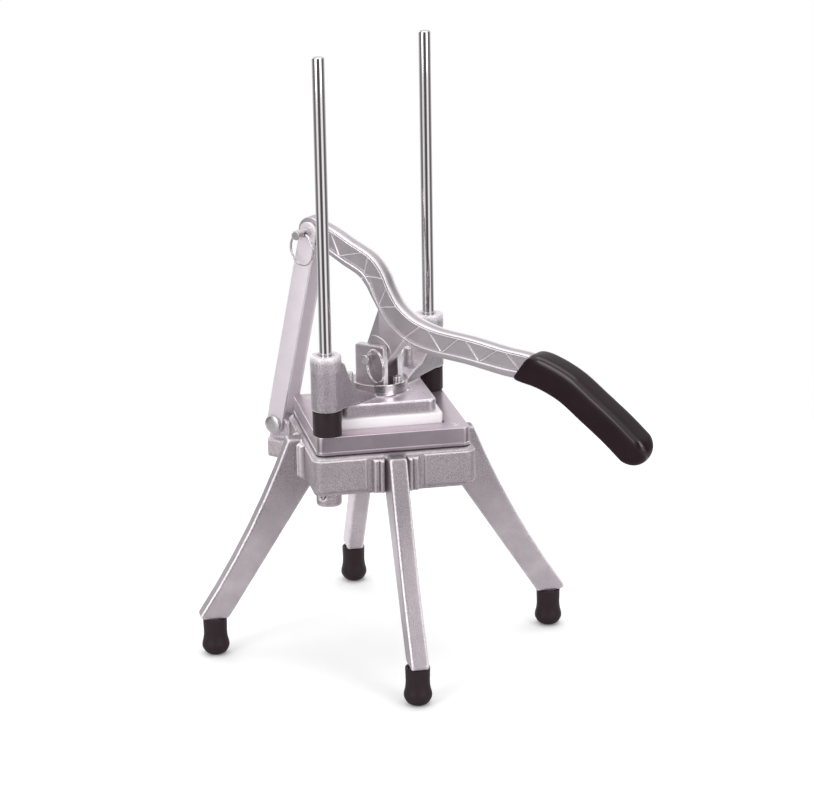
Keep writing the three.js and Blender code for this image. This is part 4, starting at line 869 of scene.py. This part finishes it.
# lever: a band swept along its middle line, with pocket, ribs, lug and eye (mm)
lever = {
    "line": [(-62, 350.5), (-46, 345.48), (-26.97, 336.51), (-7, 326.96), (0.99, 317.5), (6.88, 305.58), (16.99, 291),
             (32.98, 279.48), (56.09, 272.39), (92.99, 269.04), (124.97, 265), (145.88, 263.52), (164.08, 260.01),
             (184, 252), (204.92, 238), (225.09, 224.01), (246, 207.45)],
    # distance from the middle line to the upper and the lower edge, the lower at shares of the length
    "upper": 9.8, "lower": [(0, 10), (0.13, 11.2), (0.19, 11.2), (0.24, 8.8), (0.3, 9), (0.42, 11.4), (1, 10.6)],
    "half": 6.92, "web": 4.9, "topRim": 2.7, "fillet": 0.8, "edge": 0.6, "topEdge": 0.55, "step": 0.75,
    # the upper rim's face, a step inward that shows as a dark line, deepened there by painted shade: down from the
    # top, in from the side
    "rimFace": [(1.3, 0), (1.15, 0.15), (0.75, 0.75), (0.55, 0.75)], "topFace": (4.6, 3.6, 2.4, 0.9),
    # painted highlights along the pocket's lower fillet and the upper rim's edges, and a painted shade line at the
    # rim's step
    "footShine": (0, 0.1, 0.5, 0.6, 0.1, 0),
    "rimHighlightShade": (-0.25, 0, 0.2, 0.8, 1, 1, 1, 1, -0.9, -0.9, 0.3, 1, 1, 1, 1, 0.6, 0.1, 0),
    # distance from the middle line down to the pocket's lower line, at places along X
    "foot": [(-62, 5.8), (-24, 6.0), (-5, 5.6), (3, 5.1), (11, 5.9), (19, 7.2), (30, 7.8), (42, 7.9), (52, 6.8),
             (60, 6.0), (75, 5.5), (98, 5.4), (122, 4.5), (136, 4.1), (170, 4.0)],
    # each rib's two ends, at shares of the length
    "rearRibs": [(0.051, 0.091), (0.097, 0.144), (0.162, 0.176), (0.19, 0.212), (0.236, 0.261), (0.269, 0.29)],
    "frontRibs": [(0.351, 0.376), (0.403, 0.441), (0.449, 0.486), (0.509, 0.543), (0.552, 0.59), (0.617, 0.653)],
    "ribRise": 1.25, "ribHalf": 0.62, "ribSink": 0.1, "ribOver": 0.6, "ribShine": 0.7,
    "start": 3, "reach": 0.72, "pocketEnd": 0.676, "rows": 640, "shine": 0.85,
    # the edges' lines are averaged over so much to each side: a share of the length, and mm along X
    "lowerSpread": 0.025, "footSpread": 6,
    "eye": 11.6, "eyeRim": 1.2, "eyeHalf": 7, "eyeRound": 1.1,
    "lug": 12.6, "pivot": 252, "lugRearX": 12, "lugFrontX": 34, "lugOpen": 0.55, "lugInside": 1.2, "lugHalf": 6.87,
    "lugRound": 0.9, "beadRadius": 17.5, "beadThick": 0.75, "beadPlace": 6.67, "beadTurn": (8, 100), "beadPoints": 60,
}
leverLine, leverAhead, leverLength = smoothLine(lever["line"], 2001)
leverShares = np.linspace(0, 1, 2001)


def alongLever(share, values):
    return np.stack([np.interp(share, leverShares, values[:, k]) for k in (0, 1)], axis=-1)


# a point at a share of the lever's length, and off its middle line by the offset
def onLever(share, offset):
    ahead = alongLever(share, leverAhead)
    offset = np.asarray(offset, float)[..., None]
    return alongLever(share, leverLine) + offset * np.stack([-ahead[..., 1], ahead[..., 0]], axis=-1)


# the value of a line through points, averaged over a spread to each side so that it bends softly
def softLine(place, points, spread, count):
    around = np.asarray(place)[..., None] + np.linspace(-spread, spread, count)
    return np.interp(around, *zip(*points)).mean(axis=-1)


def lowerHalf(share):
    return softLine(share, lever["lower"], lever["lowerSpread"], 21)


def footLine(share):
    return softLine(np.interp(share, leverShares, leverLine[:, 0]), lever["foot"], lever["footSpread"], 9)


# each row is the section: near face from the lower edge to the upper, then the far face back. A point's thickness is
# the rim's, less the pocket's depth between the two pocket lines
def leverBand():
    s = lever
    upper, half, fillet, edge, topEdge = (s[key] for key in ("upper", "half", "fillet", "edge", "topEdge"))
    share = np.linspace(s["start"] / leverLength, s["reach"], s["rows"])
    low, foot, top = lowerHalf(share), footLine(share), upper - s["topRim"]
    quarter, slope = np.linspace(0, np.pi / 2, 6), np.linspace(0, 1, 6)
    # offset from the middle line and half thickness, from the lower edge up
    columns = [(-low + edge * (1 - math.cos(a)), half - edge * (1 - math.sin(a))) for a in quarter]
    columns += [(-low + (low - foot - fillet) * f + edge * (1 - f), half) for f in (0.35, 0.7)]
    footStart = len(columns)
    columns += [(-foot - fillet * (1 - f), half) for f in slope]
    columns += [(-foot + (top + foot) * f, half) for f in np.linspace(0, 1, 34)[1:-1]]
    columns += [(top + fillet * f, half) for f in slope]
    columns += [(upper - down, half - inward) for down, inward in s["rimFace"]]
    columns += [(upper - topEdge * (1 - math.sin(a)), half - s["step"] - topEdge * (1 - math.cos(a)))
                for a in quarter[[2, 4, 5]]]
    columns += [(upper, thick) for thick in s["topFace"]]
    offset, thick = (np.stack([np.ones(len(share)) * column[k] for column in columns], axis=1) for k in (0, 1))
    flat = onLever(np.broadcast_to(share[:, None], offset.shape), offset)
    inner = np.minimum(offset + foot[:, None] + fillet / 2, top + fillet / 2 - offset) / fillet
    fromEye = np.hypot(flat[..., 0] - s["line"][0][0], flat[..., 1] - s["line"][0][1])
    inner = np.minimum(inner, (fromEye - s["eye"] + s["eyeRim"]) / fillet)
    inner = np.minimum(inner, (s["pocketEnd"] - share[:, None]) * leverLength / fillet)
    thick = thick - softStep(between(inner, -0.5, 0.5)) * (half - s["web"])
    near = stacked(flat[..., 0], -thick, flat[..., 1])
    far = stacked(flat[..., 0], thick, flat[..., 1])[:, ::-1]
    # painted highlights and the painted shade line, one value for each column
    wornAndHighlit = np.zeros(len(columns))
    wornAndHighlit[footStart:footStart + len(slope)] = s["footShine"]
    wornAndHighlit[-len(s["rimHighlightShade"]):] = s["rimHighlightShade"]
    wornAndHighlit = np.tile(wornAndHighlit * s["shine"], (len(share), 1))
    return np.concatenate([near, far], axis=1), np.concatenate([wornAndHighlit, wornAndHighlit[:, ::-1]], axis=1)


# a point on the pocket's upper line (way 1) or its lower one (way -1)
def onPocketLine(share, way):
    return onLever(share, lever["upper"] - lever["topRim"] if way > 0 else -footLine(share))


# zigzag ribs on both faces of the web, from one pocket line to the other, with their ends in the rims: a point of
# the section stands off the web by rise * exp(-(way across / half width)^2)
def ribGrids():
    s = lever
    across = np.linspace(-2.2, 2.2, 15) * s["ribHalf"]
    bump = np.exp(-(across / s["ribHalf"]) ** 2)
    standing = s["web"] - s["ribSink"] + s["ribRise"] * bump
    grids = []
    for places, firstSide in ((s["rearRibs"], 1), (s["frontRibs"], -1)):
        for k, shares in enumerate(places):
            side = firstSide if k % 2 == 0 else -firstSide
            start, end = (onPocketLine(share, way) for share, way in zip(shares, (side, -side)))
            length = np.linalg.norm(end - start)
            along = (end - start) / length
            middle = start + np.linspace(-s["ribOver"], length + s["ribOver"], 14)[:, None] * along
            flat = middle[:, None] + across[:, None] * np.array([-along[1], along[0]])
            grids += [stacked(flat[..., 0], way * standing, flat[..., 1])[:, ::way] for way in (1, -1)]
    # painted highlight along each rib's crest
    return grids, np.tile(bump * s["ribShine"], (sum(len(grid) for grid in grids), 1))


# the lug: the round about the pivot, the front and rear tangents, and a top edge inside the band's lower rim
def lugGrid():
    s = lever
    front, rear = (np.interp(s[key], leverLine[:, 0], leverShares) for key in ("lugFrontX", "lugRearX"))
    ends = [onLever(share, -lowerHalf(share)) for share in (front, rear)]
    touch = []
    for join, way in zip(ends, (-1, s["lugOpen"])):
        reach = math.hypot(join[0], join[1] - s["pivot"])
        touch.append(math.atan2(join[1] - s["pivot"], join[0]) + way * math.acos(s["lug"] / reach))
    below = np.linspace(front, rear, 30)
    top = onLever(below, -lowerHalf(below) + s["lugInside"])
    arc = arcPoints(0, s["pivot"], s["lug"], touch[1], touch[0] + 2 * np.pi, 60)
    frontEdge = arc[-1] + (ends[0] - arc[-1]) * np.linspace(0, 1, 14)[1:, None]
    rearEdge = ends[1] + (arc[0] - ends[1]) * np.linspace(0, 1, 14)[:-1, None]
    return slabGrid(np.vstack([arc, frontEdge, top, rearEdge]), s["lugHalf"], 0, s["lugRound"])


# a bead on each side of the lug, along a part of a circle round the pivot: radius * sqrt(sine along it)
def beadGrid(side):
    s = lever
    count = s["beadPoints"]
    angle = np.radians(np.linspace(*s["beadTurn"], count))
    path = stacked(s["beadRadius"] * np.cos(angle), side * s["beadPlace"],
                   s["pivot"] + s["beadRadius"] * np.sin(angle))
    thick = s["beadThick"] * np.sqrt(np.clip(np.sin(np.linspace(0, np.pi, count)), 0.02, 1))
    return wireGrid(path, np.array([0.0, 1.0, 0.0]), thick)


leverFinish = (leverMaterial, "lever", "lever_aluminium")
eyeProfile = softCorners([(1, -lever["eyeHalf"]), (lever["eye"], -lever["eyeHalf"]),
                          (lever["eye"], lever["eyeHalf"]), (1, lever["eyeHalf"])], lever["eyeRound"], 7)
bandPoints, bandShine = leverBand()
ribPoints, ribShine = ribGrids()
gridPiece("lever_band", [bandPoints], *leverFinish, ["lever"], 0, bandShine)
gridPiece("lever_ribs", ribPoints, *leverFinish, [], 60, ribShine, cap="flat")
gridPiece("lever_lug", [lugGrid()], *leverFinish, ["lever"], 50, cap="flat")
gridPiece("lever_beads", [beadGrid(-1), beadGrid(1)], *leverFinish)
gridPiece("lever_eye", [turnedAcross(eyeProfile, *lever["line"][0], 72)], *leverFinish)
print("lever built")

# grip: a rounded section along the lever's line, a leaning mouth and a round end
grip = {
    "mouthX": 143, "width": 12.0, "depth": 13.45, "square": 0.42, "lean": 0.6, "leanOver": 45, "glossSpread": 18,
    "endSquare": 0.8, "endRound": 13.5, "endReach": 8.0, "endPower": 0.85, "endRows": 16,
    # share of the full section at distances from the mouth
    "lip": [(0, 0.80), (0.9, 0.88), (2.4, 0.94), (6, 0.985), (12, 1)],
    "mouthRows": (0, 0.3, 0.8, 1.6, 3, 5), "evenFrom": 8, "evenRows": 70, "sides": 72,
}


# a point of a ring is half the width times a power of the cosine across, half the depth times a power of the sine
# along the line's normal; the rings lean ahead at the mouth and close through a quarter round at the end
def gripGrid():
    s = grip
    mouth = np.interp(s["mouthX"], leverLine[:, 0], leverShares)
    endShare = 1 - (s["endRound"] - s["endReach"]) / leverLength
    share = np.concatenate([mouth + np.array(s["mouthRows"]) / leverLength,
                            np.linspace(mouth + s["evenFrom"] / leverLength, endShare, s["evenRows"])])
    fromMouth = (share - mouth) * leverLength
    swell = np.interp(fromMouth, *zip(*s["lip"]))
    closing = np.linspace(0, np.pi / 2, s["endRows"] + 2)[1:-1]
    ending = np.cos(closing) ** s["endPower"]
    shrink, flatShrink = (np.concatenate([part, ending]) for part in (swell, (1 + swell) / 2))
    shift = np.concatenate([np.zeros(len(share)), s["endRound"] * np.sin(closing)])
    lean = np.concatenate([s["lean"] * peak(fromMouth, 0, s["leanOver"]), np.zeros(len(closing))])
    square = np.concatenate([np.full(len(share), s["square"]),
                             s["square"] + (s["endSquare"] - s["square"]) * np.sin(closing)])[:, None]
    share = np.concatenate([share, np.full(len(closing), endShare)])
    cosine, sine = np.cos(wholeTurn(s["sides"])), np.sin(wholeTurn(s["sides"]))
    wide = s["width"] * flatShrink[:, None] * np.sign(cosine) * np.abs(cosine) ** square
    high = s["depth"] * shrink[:, None] * np.sign(sine) * np.abs(sine) ** square
    ahead = shift[:, None] + high * lean[:, None]
    point, direction = onLever(share, np.zeros(len(share))), unit(alongLever(share, leverAhead))
    x = point[:, :1] - direction[:, 1:] * high + direction[:, :1] * ahead
    z = point[:, 1:] + direction[:, :1] * high + direction[:, 1:] * ahead
    return toFrame(stacked(x, wide, z))


gripMesh = gridMesh("grip_sleeve", [gripGrid()])
gripTurn = np.tile(np.arange(grip["sides"]) / grip["sides"] * 360, (len(gripMesh.vertices) // grip["sides"], 1))
cornerGloss = np.exp(-((np.abs(gripTurn - 90) - 45) / grip["glossSpread"]) ** 2)  # the two upper corners only
addPiece("grip_sleeve", paint(gripMesh, cornerGloss, "gloss"), vinyl, "lever", ["lever_grip"], 0)
print("grip built")

link = {"low": (-103, 177.5), "high": (-62, 350.5), "half": 8, "inner": 7.35, "thick": 3.2, "edge": 0.7}


# half a circle round each end, joined by straight flanks
def linkOutline():
    s, quarter = link, np.pi / 2
    lean = math.atan2(s["high"][1] - s["low"][1], s["high"][0] - s["low"][0])
    return np.vstack([arcPoints(*s["high"], s["half"], lean - quarter, lean + quarter, 30),
                      arcPoints(*s["low"], s["half"], lean + quarter, lean + 3 * quarter, 30)])


for name, side in (("near", -1), ("far", 1)):
    middleY = side * (link["inner"] + link["thick"] / 2)
    gridPiece("link_bar_" + name, [slabGrid(linkOutline(), link["thick"] / 2, middleY, link["edge"])], linkMaterial,
              "link", "link_aluminium", ["link_plate_" + name], cap="flat")

pin = {"radius": 3.9, "head": 7.8, "face": 0.6, "crown": 0.7, "rounds": [0.7, 0.3, 0.4, 0.9, 3.0]}
pins = {
    # name: X, Z, head from, head to, tail end, body; the name is the replaced node's
    "clevis_pin": (0, 252, 14.0, 16.6, -20.5, "head"),
    "lower_link_pin": (*link["low"], -10.9, -13.5, 27.9, "link"),
    "upper_link_pin_head": (*link["high"], 10.9, 13.5, 0.2, "link"),
}
for name, (x, z, headFrom, headTo, tail, body) in pins.items():
    radius, head = pin["radius"], pin["head"]
    crown = headTo - math.copysign(pin["crown"], headTo - headFrom)
    profile = softCorners([(0.3, tail), (radius, tail), (radius, headFrom), (head, headFrom), (head, crown),
                           (head * pin["face"], headTo), (0.3, headTo)], pin["rounds"], 6)
    gridPiece(name + "_turned", [turnedAcross(profile, x, z, 56)], pinSteel, body, "polished_steel", [name])

ring = {"start": 0.4, "end": 4 * math.pi - 0.15, "stepTurn": 0.9, "wireShare": 0.56, "points": 260}


# a split ring: two turns of wire round the middle and axis of the CAD ring, stepping over in the last part of a turn
def splitRing(name, body):
    s = ring
    points = readValues(nodes[name].data.vertices)
    middle = points.mean(axis=0)
    axes = np.linalg.eigh(np.cov((points - middle).T))[1]
    axis, first = axes[:, 0], axes[:, 2]
    second = np.cross(axis, first)
    away = np.linalg.norm(points - middle, axis=1)
    radius = (away.max() + away.min()) / 2
    wire = (away.max() - away.min()) / 2 * s["wireShare"]
    angle = np.linspace(s["start"], s["end"], s["points"])
    over = (softStep(between(angle, 2 * np.pi - s["stepTurn"], 2 * np.pi)) - 0.5) * 2 * wire
    path = middle + radius * (np.cos(angle)[:, None] * first + np.sin(angle)[:, None] * second) + over[:, None] * axis
    addPiece(name + "_wire", gridMesh(name + "_wire", [wireGrid(path, axis, wire)], cap="flat"), wireSteel, body,
             [name])


for name, body in (("clevis_ring", "head"), ("lower_link_ring", "link"), ("upper_link_ring", "link")):
    splitRing(name, body)

# round heads with a drive socket: the profile runs from the socket's floor over the rim to the head's foot
screws = {
    # name: X, Y, top height, head radius, socket radius, head height, body; the name is the replaced node's
    "clevis_screw_rear": (-18.6, 0, 235.95, 3.7, 1.7, 4.2, "head"),
    "clevis_screw_front": (18.6, 0, 235.95, 3.7, 1.7, 4.2, "head"),
    "tray_screw_rear": (-74.45, 0, 203.25, 3.9, 1.5, 4.0, "base"),
    "tray_screw_front": (74.45, 0, 203.25, 3.9, 1.5, 4.0, "base"),
}
socketDepth = 1.4
for name, (x, y, top, radius, socket, tall, body) in screws.items():
    profile = softCorners([(0.2, top - socketDepth), (socket, top - socketDepth), (socket, top), (radius, top),
                           (radius, top - tall), (0.2, top - tall)], [0.1, 0.25, 0.7, 0.3], 5)
    gridPiece(name + "_head", [turnedGrid(profile, x, y, 36)], pinSteel, body, "polished_steel", [name])
print("links, pins, rings and screws built")

# what the CAD nodes are made of, by the start of their names: the shown ones are blades and plain steel
nodeMaterials = {"lower_blade": bladeSteel, "upper_blade": bladeSteel, "leg_tip": rubber, "stop_bumper": rubber,
                 "guide_bushing": bushingSteel, "pusher_block": whitePlastic, "lever_grip": vinyl,
                 "link_plate": linkMaterial}
for name, node in nodes.items():
    material = next((nodeMaterials[start] for start in nodeMaterials if name.startswith(start)), pinSteel)
    node.data.materials.clear()
    node.data.materials.append(material)

studio = {
    "floorReach": 0.75, "floorThick": 0.001, "floorColour": (0.95, 0.95, 0.95), "floorRough": 0.9,
    "floorLift": 0.02,  # glow that brings the lit floor up to white and leaves its shadow
    "floorMirror": (0.42, 0.85),  # how bright the floor is to shiny surfaces, in front and behind
    "floorTurn": (0.0, 0.3),  # how far behind the middle (m) the one goes over into the other
    "level": 0.88,  # light of the room on matt surfaces
    "mirrorLevel": 1.25,
    # what shiny surfaces see round the room: share of the turn, and how bright
    "ring": [(0.0, 0.66), (0.03, 0.30), (0.094, 0.16), (0.165, 0.22), (0.18, 0.9), (0.2235, 1.0), (0.268, 0.9),
             (0.283, 0.16), (0.344, 0.07), (0.405, 0.14), (0.42, 0.95), (0.464, 1.05), (0.512, 0.95), (0.53, 0.2),
             (0.598, 0.12), (0.66, 0.26), (0.72, 0.7), (1.0, 0.70)],
    "top": 0.74, "topFrom": (0.3, 0.75),  # the ceiling, and the upward parts between which it takes over
}


# a disc of floor, whose rings turn about the middle
def buildFloor():
    s, turn = studio, math.radians(view["azimuth"])
    reach, under = s["floorReach"], -s["floorThick"]
    mesh = gridMesh("paleFloor", [turnedGrid(np.array([(0.001, 0), (reach, 0), (reach, under), (0.001, under)]),
                                             0, 0, 96)])
    floor = bpy.data.objects.new("paleFloor", mesh)
    bpy.context.scene.collection.objects.link(floor)
    material, tree, skin = startMaterial("paleFloor")
    path = addNode(tree, "ShaderNodeLightPath").outputs
    behind = addNode(tree, "ShaderNodeVectorMath", operation="DOT_PRODUCT")
    feedSocket(tree, behind.inputs[0], objectPlace(tree))
    feedSocket(tree, behind.inputs[1], (-math.sin(turn), math.cos(turn), 0))
    front, back = s["floorMirror"]
    dim = mixNode(tree, rangeNode(tree, behind.outputs["Value"], *s["floorTurn"]), (front,) * 3, (back,) * 3)
    feed(tree, skin, Base_Color=mixNode(tree, path["Is Glossy Ray"], s["floorColour"], dim),
         Roughness=s["floorRough"], Specular_IOR_Level=0, Emission_Color=(1, 1, 1),
         Emission_Strength=mathNode(tree, "MULTIPLY", path["Is Camera Ray"], s["floorLift"]))
    mesh.materials.append(material)


# the room: white to the camera, an even light to matt surfaces, softboxes and the gaps between them to shiny ones
def buildRoom():
    s = studio
    world = bpy.data.worlds.new("studioRoom")
    bpy.context.scene.world = world
    world.use_nodes = True
    tree = world.node_tree
    place = addNode(tree, "ShaderNodeTexCoord").outputs["Generated"]
    around = feed(tree, addNode(tree, "ShaderNodeTexGradient", gradient_type="RADIAL"), Vector=place)
    seen = feed(tree, addNode(tree, "ShaderNodeValToRGB"), Fac=around.outputs["Fac"])
    stops = seen.color_ramp.elements
    for position, grey in s["ring"]:
        stop = stops[0] if position == 0 else stops[-1] if position == 1 else stops.new(position)
        stop.color = (grey, grey, grey, 1)
    overhead = rangeNode(tree, partsOf(tree, place)["Z"], *s["topFrom"])
    mirror = mixNode(tree, overhead, seen.outputs["Color"], s["top"], "FLOAT")
    path = addNode(tree, "ShaderNodeLightPath").outputs
    lit = mixNode(tree, path["Is Glossy Ray"], s["level"], mathNode(tree, "MULTIPLY", mirror, s["mirrorLevel"]),
                  "FLOAT")
    plain = mathNode(tree, "MAXIMUM", path["Is Camera Ray"], path["Is Transmission Ray"])
    feed(tree, tree.nodes["Background"], Strength=mixNode(tree, plain, lit, 1, "FLOAT"), Color=(1, 1, 1))


buildRoom()
buildFloor()

bpy.context.scene.view_settings.view_transform = "Standard"
print("pieces finished")
